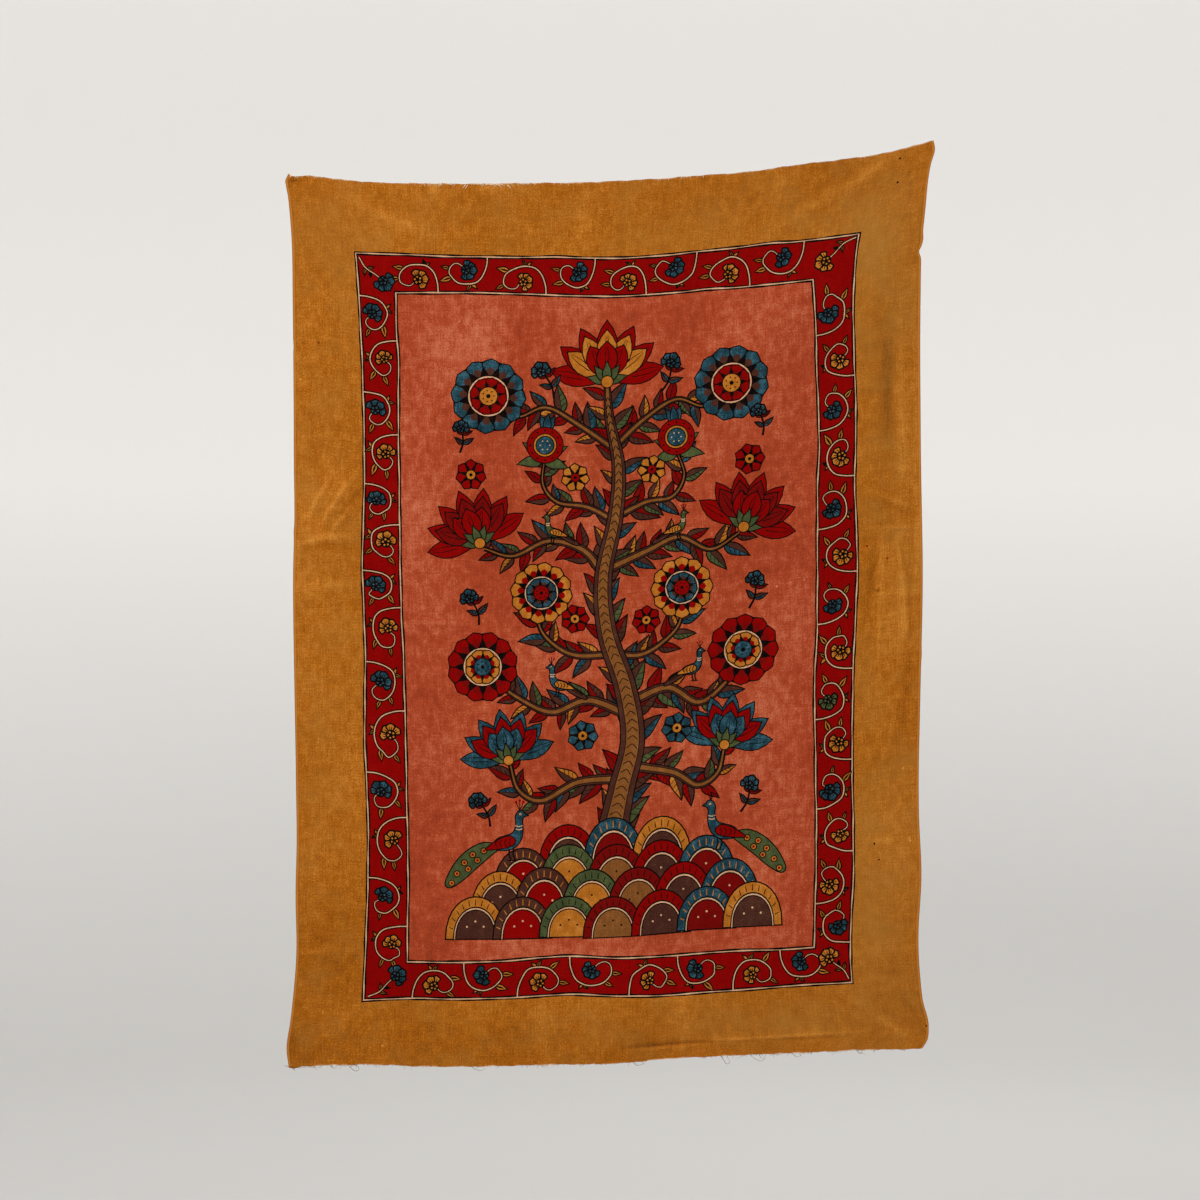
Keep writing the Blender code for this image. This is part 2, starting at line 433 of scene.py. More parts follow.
# Columns: tip at the frame's corner, flower, flower's dye
CORNER_SPRIGS = [
    ((120, 139), (163, 179), "indigo"),
    ((1010, 146), (958, 181), "yellow"),
    ((1001, 1471), (968, 1434), "yellow"),
    ((136, 1476), (182, 1438), "indigo"),
]

# One scroll's line. Columns: share of its reach along the side, share of the band's depth
SCROLL_VINE = np.array([(0, 0), (0.02, 0.25), (0.11, 0.53), (0.28, 0.71), (0.52, 0.77), (0.76, 0.71),
                        (0.94, 0.56), (1.0, 0.42), (0.96, 0.27), (0.84, 0.18), (0.71, 0.2), (0.6, 0.3)])
SCROLL_FLOWER = np.array((0.55, 0.35))
FLOWER_OPENS_DEG = 155
FLOWER_RADIUS = 18.4
FIVE_PETALS_SHARE = 0.65
# Widths of the vine at its start, its end and its middle, in ink and in the cream that covers it
VINE_INK = (6.5, 5.2, 6.3)
VINE_CREAM = (1.9, 1.1, 2.0)
# Columns: share of the line's length, lean towards its tip in degrees, length, a second small leaf
SCROLL_LEAVES = [(0.38, 55, 14, True), (0.60, 24, 22, False), (0.77, 10, 19, False)]
# The stem in each corner of the frame. Columns: share of its length, turn in degrees, length of a leaf
SPRIG_LEAVES = [(0.35, 55, 15), (0.4, -60, 14), (0.55, 42, 11)]
SPRIG_INK = (5.9, 5.0)
SPRIG_CREAM = (1.8, 1.1)
SPRIG_FLOWER_RADIUS = 19.5
# A ruled line from its outside in. Columns: dye, how far out of the line's middle it starts
RULED_LINE = [("ink", 3.5), ("cream", 1.0), ("ink", -0.8)]
INSIDE_RULED_LINE = -3.7
RULED_WAVER = 0.4
# How closely the points of the ruled lines and of a vine are spaced
RULED_SPACING = 9.0
VINE_SPACING = 5.0
# Degrees from petal to petal, by the number of petals
FAN_DEG = {4: 50.0, 5: 43.0}


# %% [markdown]
# A scroll's line is a list of shares of its reach and its depth, so one drawing fits every gap. A
# seeded chance moves its points, leaves and petals a little, and no two scrolls come out alike.

# %% One scroll and its flower
def half_flower(at, opens, radius, dye, petals, rng):
    """A flower from the side: broad petals fanned round the way it opens, each with two ink veins, and
    a black middle with a ring of small dots."""
    order = np.arange(petals) - (petals - 1) / 2
    for k in order[np.argsort(-np.abs(order))]:
        heading = opens + k * FAN_DEG[petals] + rng.normal(0, 4)
        reach = radius * (1.0 - 0.04 * abs(k) + rng.normal(0, 0.03))
        outlined(dye, placed(petal(reach, radius * 0.84, 5) + (radius * 0.1, 0), at, heading), FLOWER_PEN)
        for aside in (-9, 9):
            vein = placed([(radius * 0.4, 0), (radius * 0.76, 0)], at, heading + aside)
            stroke("ink", vein, 2.0, 1.1)
    dye_in("ink", ring(at, radius * 0.5, 12))
    for k in range(5):
        a = math.radians(opens + 72 * k)
        seed = np.asarray(at) + radius * 0.27 * np.array([math.cos(a), math.sin(a)])
        dye_in(dye, ring(seed, radius * 0.1, 6))


def scroll(root, along, over, reach, depth, dye, rng):
    """One scroll from its root. along and over are the unit directions of its growth and of the
    facing line, so the table's shares of reach and depth become places on the cloth."""
    to_cloth = np.array([np.asarray(along) * reach, np.asarray(over) * depth])
    chance = rng.normal(0, 0.012, SCROLL_VINE.shape)
    chance[:2] = 0
    line = curve((SCROLL_VINE + chance) @ to_cloth, VINE_SPACING) + root
    seat = (SCROLL_FLOWER + rng.normal(0, 0.012, 2)) @ to_cloth + root
    steps = np.linalg.norm(np.diff(line, axis=0), axis=1)
    share = np.concatenate([[0], np.cumsum(steps)]) / steps.sum()
    turns = 1 if along[0] * over[1] - along[1] * over[0] > 0 else -1
    for place, lean, size, second in SCROLL_LEAVES:
        k = int(np.searchsorted(share, place + rng.normal(0, 0.025)))
        heading = heading_of(line[k] - seat) - turns * (lean + rng.normal(0, 9))
        size = size * (1 + rng.normal(0, 0.12))
        leaf(line[k], heading, size)
        if second:
            leaf(line[k], heading + turns * 85, size * 0.9, rib=False)
    stroke("ink", line[1:], *VINE_INK)
    stroke("cream", line, *VINE_CREAM)
    opens = math.radians(FLOWER_OPENS_DEG + rng.normal(0, 14))
    way = np.array([math.cos(opens), math.sin(opens)]) @ np.array([along, over])
    petals = 5 if rng.random() < FIVE_PETALS_SHARE else 4
    half_flower(seat, heading_of(way), FLOWER_RADIUS + rng.normal(0, 0.9), dye, petals, rng)


def corner_sprig(tip, seat, dye, rng):
    """A short stem from the frame's corner, with leaves beside it and a flower at its end."""
    way = seat - tip
    across = np.array([-way[1], way[0]]) * 0.09
    line = curve([tip, tip + way * 0.35 + across, tip + way * 0.7 + across * 0.3, seat], 4)
    for place, turn, size in SPRIG_LEAVES:
        leaf(line[int(place * len(line))], heading_of(way) + turn, size)
    stroke("ink", line, *SPRIG_INK)
    stroke("cream", line, *SPRIG_CREAM)
    half_flower(seat, heading_of(way) + 8, SPRIG_FLOWER_RADIUS, dye, 5, rng)


# %% [markdown]
# The border is painted from its outside in: the red inside the outer line, the rose inside the inner
# line, and then the scrolls on the red that is left between them.

# %% The painted border
def ruled(line, inside):
    """A ruled line: cream between two lines of ink, and then the dye of all that lies inside it."""
    for phase, (dye, out) in enumerate([*RULED_LINE, (inside, INSIDE_RULED_LINE)]):
        dye_in(dye, unsteady(grown(line, out), RULED_WAVER, phase))


def paint_border():
    outer = {side: curve(OUTER_LINE[side], RULED_SPACING) for side in SIDES}
    inner = {side: curve(INNER_LINE[side], RULED_SPACING) for side in SIDES}
    ruled(turned_one_way(np.concatenate([outer[side][:-1] for side in SIDES])), "madder")
    ruled(turned_one_way(np.concatenate([inner[side][:-1] for side in SIDES])), "rose")
    rng = np.random.default_rng(11)
    for side, (first_line, first_dye, ends) in SCROLLS.items():
        axis = 0 if side in ("top", "bottom") else 1
        for k, (root_at, far_at) in enumerate(ends):
            from_outer = (first_line == "outer") == (k % 2 == 0)
            in_turn = "indigo" if (first_dye == "indigo") == (k % 2 == 0) else "yellow"
            dye = ODD_FLOWERS.get((side, root_at), in_turn)
            near, facing = (outer[side], inner[side]) if from_outer else (inner[side], outer[side])
            root = near[np.argmin(np.abs(near[:, axis] - root_at))].copy()
            root[axis] = root_at
            far = facing[np.argmin(np.abs(facing[:, axis] - (root_at + far_at) / 2))]
            over = np.array(INWARD[side]) * (1 if from_outer else -1)
            depth = abs(far - root)[1 - axis]
            scroll(root, GROWS[side], over, abs(far_at - root_at), depth, dye, rng)
    for tip, seat, dye in CORNER_SPRIGS:
        corner_sprig(np.array(tip, float), np.array(seat, float), dye, rng)


# Drops of dye on the margins. Columns: dye, across, down, radius
DROPS = [
    ("ink", 1070, 16, 2.0), ("ink", 1075, 60, 2.0), ("ink", 1049, 1233, 1.9), ("ink", 1057, 1262, 1.6),
    ("ink", 1126, 1560, 1.5), ("madder", 1031, 701, 2.0), ("madder", 1067, 727, 1.7),
]

paint_border()
for dye, across, down, radius in DROPS:
    dye_in(dye, ring((across, down), radius, 9))
print("scrolls in the border:", sum(len(ends) for *first, ends in SCROLLS.values()))
print("outlines in the border:", len(painting))

# %% [markdown]
# The rose field inside the border holds a flowering tree on a mound of hillocks, with birds. It is the
# commonest traditional design for painted cotton of this kind, and it suits the tall field. Each motif
# is one function of a place, a size and its dyes, and short tables say where the motifs go, so that the
# layout can be changed without touching how they are drawn. Half of what is drawn is black ink, as on
# the real cloth: thick outlines, dark shaded sides, and ink left bare between the petals.

# %% The lotus
# The darker dye of a smaller petal inside one of each dye
SECOND_DYE = {"indigo": "umber", "madder": "crimson", "yellow": "madder"}
# A leaf's lighter and darker side
LEAF_DYES = [("madder", "crimson"), ("green", "umber"), ("yellow", "umber"), ("indigo", "umber"),
             ("madder", "umber"), ("umber", "crimson")]
PEN = 2.1


def pointed_petal(length, width, steps=7):
    """A petal that is widest at three fifths of its length and ends in a point."""
    f = np.linspace(0, 1, steps + 1)
    half = width / 2 * np.sin(math.pi * f**1.3) ** 0.9
    edge = np.stack([f * length, half], 1)
    return np.concatenate([edge, edge[-2:0:-1] * (1, -1)])


def lotus(at, opens, size, dye, second):
    """A lotus from the side: three rows of pointed petals, the back row first, over a cup of leaves."""
    for reach, spread, count, fill in ((1.0, 156, 7, dye), (0.85, 104, 5, second), (0.66, 50, 3, dye)):
        turns = np.linspace(-spread / 2, spread / 2, count)
        for turn in turns[np.argsort(-np.abs(turns))]:
            length = size * reach * (1 - 0.0009 * abs(turn))
            outlined(fill, placed(pointed_petal(length, size * 0.34), at, opens + turn), PEN)
            for aside in (-0.045, 0.045):
                vein = np.array([(0.4, aside * 0.7), (0.66, aside), (0.86, aside * 0.3)]) * size * reach
                stroke("ink", placed(vein, at, opens + turn), 1.7, 0.8)
    for turn in (-75, 75, -38, 38, 0):
        leaf(at, opens + turn, size * 0.34, "green", PEN, rib=False)
    dot("yellow", at, size * 0.1)


# %% [markdown]
# A rosette is rings of petals round an eye, each ring on a disc of ink. The ink stays bare between
# the petals, and that is what makes them stand out.

# %% Rosettes and daisies
def ring_of_petals(at, inner, outer, count, dye, turn, second):
    """Petals between two circles, with ink between them and a smaller one of a second dye inside."""
    width = 1.12 * 2 * math.pi * between(inner, outer, 0.62) / count
    dye_in("ink", ring(at, between(inner, outer, 0.9), 28))
    for heading in turn + np.arange(count) * 360.0 / count:
        way = np.array([math.cos(math.radians(heading)), math.sin(math.radians(heading))])
        base = np.asarray(at, float) + way * inner
        outlined(dye, placed(petal(outer - inner, width), base, heading), PEN)
        dye_in(second, placed(petal((outer - inner) * 0.56, width * 0.46, 4), base, heading))


def rosette(at, turn, radius, outer, inner, eye):
    """An open flower from the front: two rings of petals round a dotted eye."""
    ring_of_petals(at, radius * 0.5, radius, 12, outer, turn, SECOND_DYE[outer])
    dot("cream", at, radius * 0.55, 28)
    dye_in(inner, ring(at, radius * 0.5, 24))
    ring_of_petals(at, radius * 0.2, radius * 0.5, 8, inner, turn + 9, SECOND_DYE[inner])
    dot(eye, at, radius * 0.25, 16)
    dotted_ring(at, radius * 0.15, 7, "ink", 1.5)
    dye_in("ink", ring(at, radius * 0.06, 8))


def daisy(at, turn, radius, dye, eye):
    """A small open flower: seven petals on ink, and a plain eye."""
    dye_in("ink", ring(at, radius * 0.9, 14))
    for heading in turn + np.arange(7) * 360 / 7:
        outlined(dye, placed(petal(radius * 0.78, radius * 0.66, 4) + (radius * 0.22, 0), at, heading), PEN)
    dot(eye, at, radius * 0.32, 12)
    dye_in("ink", ring(at, radius * 0.12, 6))


# %% [markdown]
# Sprigs and fruit fill the gaps between the branches. Both put leaves round a middle, in pairs that
# lean opposite ways.

# %% Sprigs and fruit
def sprig(at, heading, size, dye, second):
    """A short stem that starts at a place, with leaves on both sides and a flower at its end."""
    stem = placed([(0, 0), (0.3, 0.07), (0.62, 0.03), (0.8, -0.05)], at, heading, size)
    for k, aside, length in ((1, 50, 0.42), (1, -62, 0.36), (2, 58, 0.36), (2, -52, 0.4)):
        veined_leaf(stem[k], heading + aside, size * length, *LEAF_DYES[(k + int(size)) % 4], 0.1)
    stroke("ink", curve(stem, 6), 4.2, 3.0)
    half_flower(stem[3], heading, size * 0.28, dye, 5, np.random.default_rng(int(at[0])))


def fruit(at, opens, size, dye, second):
    """A round seeded fruit in a cup of leaves, with a crown of three."""
    way = np.array([math.cos(math.radians(opens)), math.sin(math.radians(opens))])
    at = np.asarray(at, float)
    for turn in (-24, 24, 0):
        leaf(at + way * size * 0.52, opens + turn, size * 0.42, second, PEN, rib=False)
    for turn in (-115, 115, -65, 65):
        bend = -0.14 * np.sign(turn)
        leaf(at - way * size * 0.12, opens + turn, size * 0.62, "green", PEN, rib=False, bend=bend)
    middle = at + way * size * 0.2
    dot(dye, middle, size * 0.42, 24)
    dot("yellow", middle, size * 0.27, 20)
    dot(second, middle, size * 0.21, 18)
    dotted_ring(middle, size * 0.345, 12, "ink", 1.9)
    dotted_ring(middle, size * 0.11, 6, "cream", 1.4)


# %% [markdown]
# A bird is three closed curves through a few points, for its tail, body and wing, with strokes for its
# legs and crest. One rule draws both the small birds and those with long tails, and a flip makes them
# look left.

# %% Birds
# A bird that stands at (0, 0) and looks right. Columns: across, down
BIRD_BODY = [(-32, 8), (-22, -8), (-4, -15), (9, -20), (15, -34), (14, -50), (19, -60), (28, -62), (33, -56),
             (40, -52), (32, -50), (28, -42), (29, -28), (27, -12), (20, 2), (6, 12), (-14, 14)]
BIRD_WING = [(14, -6), (4, -14), (-14, -10), (-34, 2), (-44, 12), (-26, 12), (-4, 9), (10, 4)]
LONG_TAIL = [(-22, 2), (-48, -2), (-78, 12), (-104, 38), (-122, 74), (-112, 84), (-88, 70), (-58, 44),
             (-34, 24), (-20, 12)]
SHORT_TAIL = [(-22, 0), (-44, 8), (-68, 24), (-82, 40), (-72, 42), (-52, 34), (-34, 24), (-20, 12)]
# Columns: share of the tail's length, aside
TAIL_EYES = [(0.2, 0), (0.42, -5), (0.4, 7), (0.62, -4), (0.62, 8), (0.82, 0), (0.97, 4)]


def bird(at, size, looks, dye, wing, tail, long_tail):
    """A bird that looks left (-1) or right (1): its tail, legs, body, wing and head in that order."""

    def drawn(points):
        return placed(np.asarray(points, float) * (looks, 1), at, 0, size)

    outlined(tail, drawn(curve(LONG_TAIL if long_tail else SHORT_TAIL, 7, closed=True)), 2.2)
    if long_tail:
        for share, aside in TAIL_EYES:
            eye = (-30 - 84 * share + aside * 0.6, 8 + 66 * share**1.5 + aside)
            outlined("yellow", drawn(ring(eye, 5.8, 10)), 1.9)
            dye_in("madder", drawn(ring(eye, 2.8, 8)))
    else:
        for off in (-3, 1, 5):
            stroke("ink", drawn([(-24, 4 + off), (-46, 14 + off), (-68, 29 + off * 0.6)]), 1.6, 0.9)
    for foot in (2, 10):
        stroke("ink", drawn([(foot, 10), (foot - 1, 22), (foot + 3, 32)]), 2.8)
        stroke("ink", drawn([(foot - 4, 33), (foot + 9, 33)]), 2.4, 1.4)
    outlined(dye, drawn(curve(BIRD_BODY, 6, closed=True)), 2.2)
    stroke("cream", drawn([(15, -27), (21, -25), (27, -27)]), 1.8)
    stroke("cream", drawn([(14, -33), (21, -31), (28, -33)]), 1.4)
    outlined(wing, drawn(curve(BIRD_WING, 5, closed=True)), PEN)
    for k in range(4):
        stroke("ink", drawn(curve([(6 - 9 * k, -10 + 2 * k), (2 - 9 * k, 0), (6 - 9 * k, 7)], 3)), 1.6)
    outlined("cream", drawn(ring((24, -55), 3.0, 8)), 1.0)
    dye_in("ink", drawn(ring((24, -55), 1.2, 6)))
    for tip in ((16, -78), (23, -81), (30, -78)):
        stroke("ink", drawn([(23, -61), tip]), 1.6)
        dye_in("madder", drawn(ring(tip, 2.8, 8)))


# %% [markdown]
# The mound is rows of arches like fish scales. The back row is painted first, so that each row hides
# the feet of the one behind it.

# %% Hillocks
def hillock(at, width, height, dye, second):
    """One scale of the mound: an arch, a second arch inside it, and strokes like grass up to its rim."""
    f = np.linspace(0, math.pi, 15)

    def arch(w, h):
        return np.stack([-np.cos(f) * w / 2, -(np.sin(f) ** 0.85) * h], 1) + at

    outlined(dye, arch(width, height), 2.6)
    dye_in("ink", arch(width * 0.75, height * 0.77))
    dye_in("cream", arch(width * 0.71, height * 0.735))
    outlined(second, arch(width * 0.66, height * 0.69), PEN)
    for a in math.pi * np.linspace(0.1, 0.9, 11):
        way = np.array([-math.cos(a) * width / 2, -math.sin(a) * height])
        grass = "yellow" if dye in ("umber", "indigo") else "ink"
        stroke(grass, [at + way * 0.8, at + way * 0.94], 2.0, 1.2)
    for a in math.pi * np.linspace(0.25, 0.75, 3):
        at_dot = at + np.array([-math.cos(a) * width * 0.2, -math.sin(a) * height * 0.42])
        dye_in("ink" if second in ("yellow", "bark") else "cream", ring(at_dot, 2.0, 7))


# %% The tree's layout
# Columns: down at the row's foot, hillocks in it, height
MOUND = [(1244, 3, 84), (1286, 5, 84), (1328, 6, 82), (1370, 7, 78)]
MOUND_MIDDLE = 578
HILLOCK_SPACING = 84
HILLOCK_WIDTH = 108
HILLOCK_DYES = [("madder", "umber"), ("indigo", "crimson"), ("yellow", "umber"), ("umber", "madder"),
                ("green", "yellow"), ("crimson", "bark")]

# Columns: across, down, width
TRUNK = [(580, 1240, 92), (574, 1186, 62), (590, 1105, 50), (610, 1015, 46), (596, 918, 42), (564, 820, 38),
         (557, 720, 34), (580, 610, 30), (586, 520, 26), (570, 430, 19), (566, 372, 13)]
# Columns: down where it leaves the trunk, width there, and the points that it runs through
BRANCHES = [
    (1085, 21, [(512, 1088), (446, 1120), (404, 1100), (388, 1050)]),
    (1060, 21, [(684, 1080), (728, 1106), (764, 1086), (776, 1040)]),
    (970, 22, [(530, 940), (464, 960), (402, 932), (346, 888)]),
    (945, 22, [(672, 925), (728, 956), (774, 926), (804, 880)]),
    (855, 17, [(508, 858), (466, 836), (442, 802), (446, 752)]),
    (860, 17, [(624, 862), (664, 842), (694, 808), (697, 754)]),
    (715, 20, [(522, 668), (460, 650), (396, 676), (344, 662)]),
    (705, 20, [(638, 674), (694, 654), (750, 680), (802, 654)]),
    (620, 16, [(530, 590), (476, 580), (450, 548), (452, 504)]),
    (610, 16, [(636, 586), (682, 580), (704, 544), (692, 500)]),
    (490, 16, [(514, 440), (456, 408), (404, 424), (360, 398)]),
    (480, 16, [(632, 436), (690, 404), (740, 420), (782, 394)]),
]
# Columns: motif, across, down, opens or turn in degrees, size, its dyes
BLOSSOMS = [
    (lotus, 566, 364, -90, 112, ("madder", "yellow")),
    (rosette, 352, 386, 5, 68, ("indigo", "madder", "yellow")),
    (rosette, 790, 382, 12, 68, ("indigo", "madder", "yellow")),
    (fruit, 452, 492, -84, 78, ("madder", "indigo")),
    (fruit, 692, 488, -96, 78, ("madder", "indigo")),
    (lotus, 336, 652, -112, 102, ("madder", "crimson")),
    (lotus, 810, 644, -68, 102, ("madder", "crimson")),
    (rosette, 446, 744, 8, 56, ("yellow", "indigo", "madder")),
    (rosette, 698, 746, 0, 56, ("yellow", "indigo", "madder")),
    (rosette, 340, 876, 15, 64, ("madder", "yellow", "indigo")),
    (rosette, 808, 866, 3, 64, ("madder", "yellow", "indigo")),
    (lotus, 386, 1046, -100, 94, ("indigo", "madder")),
    (lotus, 776, 1036, -80, 94, ("indigo", "madder")),
    (daisy, 508, 536, 10, 26, ("yellow", "madder")),
    (daisy, 646, 528, 24, 26, ("yellow", "madder")),
    (daisy, 506, 792, 0, 26, ("madder", "yellow")),
    (daisy, 634, 800, 15, 26, ("madder", "yellow")),
    (daisy, 520, 1004, 5, 28, ("indigo", "yellow")),
    (daisy, 690, 1000, 20, 28, ("indigo", "yellow")),
    (daisy, 320, 528, 12, 28, ("madder", "yellow")),
    (daisy, 822, 522, 0, 28, ("madder", "yellow")),
    (sprig, 334, 800, -106, 62, ("indigo", "madder")),
    (sprig, 818, 792, -74, 62, ("indigo", "madder")),
    (sprig, 352, 1166, -112, 62, ("indigo", "madder")),
    (sprig, 806, 1160, -68, 62, ("indigo", "madder")),
    (sprig, 300, 488, -84, 54, ("indigo", "madder")),
    (sprig, 846, 482, -96, 54, ("indigo", "madder")),
    (sprig, 470, 392, -112, 66, ("indigo", "madder")),
    (sprig, 664, 388, -68, 66, ("indigo", "madder")),
]
# Columns: across, down, size, looks, body, wing, tail, long tail
BIRDS = [
    (384, 1196, 0.95, 1, "indigo", "madder", "green", True),
    (774, 1194, 0.95, -1, "indigo", "madder", "green", True),
    (478, 912, 0.62, -1, "indigo", "yellow", "umber", False),
    (716, 896, 0.62, 1, "indigo", "yellow", "umber", False),
    (470, 636, 0.55, -1, "green", "yellow", "umber", False),
    (690, 640, 0.55, 1, "green", "yellow", "umber", False),
]


# %% [markdown]
# Leaves are set along a limb before the limb itself is painted, so that it covers their stalks. They
# take turns on its two sides, at a spacing with some chance in it.

# %% Branches and leaves
def leafy(line, width, every, size, rng):
    """Leaves along a limb, on its two sides in turn, each leaning towards the limb's tip."""
    run = np.concatenate([[0], np.cumsum(np.linalg.norm(np.diff(line, axis=0), axis=1))])
    side = 1
    place = every * 0.9
    k = int(rng.integers(0, 6))
    while place < run[-1] - every * 0.3:
        i = int(np.searchsorted(run, place))
        heading = heading_of(line[min(i + 1, len(line) - 1)] - line[i - 1])
        length = size * (1 + rng.normal(0, 0.12)) * (1.15 if k % 2 else 0.95) + width[i] / 2
        dye, shade = LEAF_DYES[k % len(LEAF_DYES)]
        veined_leaf(line[i], heading + side * (52 + rng.normal(0, 9)), length, dye, shade, side * -0.1)
        side = -side
        k += 1
        place += every * (0.5 + 0.2 * rng.random())


# A limb from its outside in. Columns: dye, share of the width, and how much narrower on each side
LIMB_LAYERS = [("ink", 1.0, 0.0), ("umber", 1.0, 2.1), ("ink", 0.56, 0.0), ("bark", 0.56, 1.5)]


def limb(line, width):
    """A trunk or a branch: ink, its dye, and a paler band down its middle between two lines of ink."""
    side = beside(line)
    for dye, share, less in LIMB_LAYERS:
        half = np.maximum(width * share / 2 - less, 0.6)[:, None]
        dye_in(dye, np.concatenate([line + side * half, (line - side * half)[::-1]]))


# %% [markdown]
# The tree is painted from the back: leaves, limbs, the bark's marks, blossoms, mound and birds. A
# branch leaves the trunk where the trunk is nearest to the height that the table gives.

# %% The painted tree
def paint_tree():
    rng = np.random.default_rng(5)
    trunk = curve(TRUNK, 8)
    limbs = []
    for leaves_at, width, points in BRANCHES:
        start = trunk[np.argmin(np.abs(trunk[:, 1] - leaves_at)), :2]
        taper = width * (1 - 0.55 * np.arange(len(points) + 1) / len(points))
        limbs.append(curve(np.column_stack([[start, *points], taper]), 7))
    for rows in limbs:
        leafy(rows[:, :2], rows[:, 2], 25, 37, rng)
    leafy(trunk[:, :2], trunk[:, 2], 34, 36, rng)
    for rows in limbs:
        limb(rows[:, :2], rows[:, 2])
    limb(trunk[:, :2], trunk[:, 2])
    side = beside(trunk[:, :2])
    for k in range(4, len(trunk) - 3, 2):
        reach = trunk[k, 2] * 0.2
        mark = [trunk[k, :2] - side[k] * reach, trunk[k + 1, :2], trunk[k, :2] + side[k] * reach]
        stroke("ink", curve(mark, 4), 1.7)
    for motif, across, down, turn, size, dyes in BLOSSOMS:
        motif((across, down), turn, size, *dyes)
    k = 0
    for foot, count, height in MOUND:
        for place in (np.arange(count) - (count - 1) / 2) * HILLOCK_SPACING:
            at = np.array([MOUND_MIDDLE + place, foot]) + rng.normal(0, 1.5, 2)
            height_here = height * (1 + rng.normal(0, 0.03))
            hillock(at, HILLOCK_WIDTH, height_here, *HILLOCK_DYES[k % len(HILLOCK_DYES)])
            k += 1
    for across, down, *rest in BIRDS:
        bird((across, down), *rest)


border_outlines = len(painting)
paint_tree()
print("the tree has", len(painting) - border_outlines, "outlines")
print("points in all outlines:", sum(len(outline) for dye, outline in painting))


# %% [markdown]
# The flat drawing becomes a mesh by a constrained Delaunay triangulation: every outline is an edge that
# the triangles have to keep. A triangle takes the dye of the topmost outline round its middle. The first
# pass also has the hidden parts of the outlines, so a second one starts again from only those edges
# that part two dyes. Rows of points across each fold are added there, so that it bends smoothly.

# %% From outlines to dyed triangles
DYES = ["ground", "madder", "rose", "indigo", "yellow", "cream", "ink", "umber", "green", "crimson", "bark"]
# How closely points are spaced along the rim, in its fine stretches, and over the cloth
RIM_SPACING = 8.0
FINE_RIM_SPACING = 3.0
GRID_SPACING = 12.0
# Points that lie this close together become one
NEAR = 0.25
# How near the rim, and how near an outline, a point inside may lie
CLEAR_OF_RIM = 3
CLEAR_OF_MARKS = 0.8
# Stretches of the edges that turn tightly, from and to, along each edge clockwise from the upper left
FINE_TOP = [(0, 56), (1096, 1130)]
FINE_RIGHT = [(0, 30), (160, 212), (1530, 1600)]
FINE_BOTTOM = [(0, 30), (1090, 1130)]
FINE_LEFT = [(0, 40), (1550, 1600)]


def stations(length, fine):
    """Places along an edge: even steps of a sum that grows faster in the fine stretches."""
    fine_step = 0.25
    place = np.arange(0, length, fine_step)
    step = np.full(len(place), RIM_SPACING)
    for start, end in fine:
        step[(place >= start) & (place <= end)] = FINE_RIM_SPACING
    laid = np.cumsum(fine_step / step)
    return np.interp(np.linspace(0, laid[-1], round(laid[-1]), endpoint=False), laid, place)


def rim_points():
    """Points along the four edges of the flat cloth, clockwise from the upper left corner."""
    top, bottom = stations(CLOTH_WIDTH, FINE_TOP), stations(CLOTH_WIDTH, FINE_BOTTOM)
    right, left = stations(CLOTH_HEIGHT, FINE_RIGHT), stations(CLOTH_HEIGHT, FINE_LEFT)
    return np.concatenate([
        np.stack([top, 0 * top], 1),
        np.stack([CLOTH_WIDTH + 0 * right, right], 1),
        np.stack([CLOTH_WIDTH - bottom, CLOTH_HEIGHT + 0 * bottom], 1),
        np.stack([0 * left, CLOTH_HEIGHT - left], 1),
    ])


def loop_edges(start, count):
    """The edges of a closed loop of points that are numbered from start."""
    k = np.arange(count)
    return start + np.stack([k, (k + 1) % count], 1)


# %% [markdown]
# A point lies inside an outline if the outline winds round it. Outlines that cross themselves are
# still filled whole that way, as a brush fills them.

# %% Which dye lies where
def wound_round(points, start, end):
    """Whether the sides from start to end wind round each point: of those that pass the point's height,
    the ones that go up on its right are counted less those that go down there. Many points and
    sides at once are first halved by height, because most sides then pass only one half."""
    if len(points) * len(start) > 1e5 and len(points) > 50:
        found = np.zeros(len(points), bool)
        upper = points[:, 1] <= np.median(points[:, 1])
        for half in (upper, ~upper):
            heights = points[half, 1]
            if len(heights):
                passing = (np.minimum(start[:, 1], end[:, 1]) <= heights.max()) & (
                    np.maximum(start[:, 1], end[:, 1]) >= heights.min()
                )
                found[half] = wound_round(points[half], start[passing], end[passing])
        return found
    x, y = points[:, :1], points[:, 1:]
    (x0, y0), (x1, y1) = start.T, end.T
    turn = (x1 - x0) * (y - y0) - (x - x0) * (y1 - y0)
    up = (y0 <= y) & (y1 > y) & (turn > 0)
    down = (y0 > y) & (y1 <= y) & (turn < 0)
    return up.sum(1) - down.sum(1) > 0


def dyes_at(points, outlines):
    """The number of the topmost dye at each point."""
    order = np.argsort(points[:, 0])
    across = points[order, 0]
    found = np.zeros(len(points), int)
    for dye, outline in outlines:
        low = outline.min(0)
        high = outline.max(0)
        near = order[np.searchsorted(across, low[0]):np.searchsorted(across, high[0])]
        near = near[(points[near, 1] > low[1]) & (points[near, 1] < high[1])]
        if len(near):
            found[near[wound_round(points[near], outline, np.roll(outline, -1, 0))]] = DYES.index(dye)
    return found


# %% [markdown]
# The triangles need points inside the dyed regions too, or the cloth couldn't bend there. They go on a
# coarse grid and in close rows across each crease, and none goes too near an outline, because that
# would leave slivers.

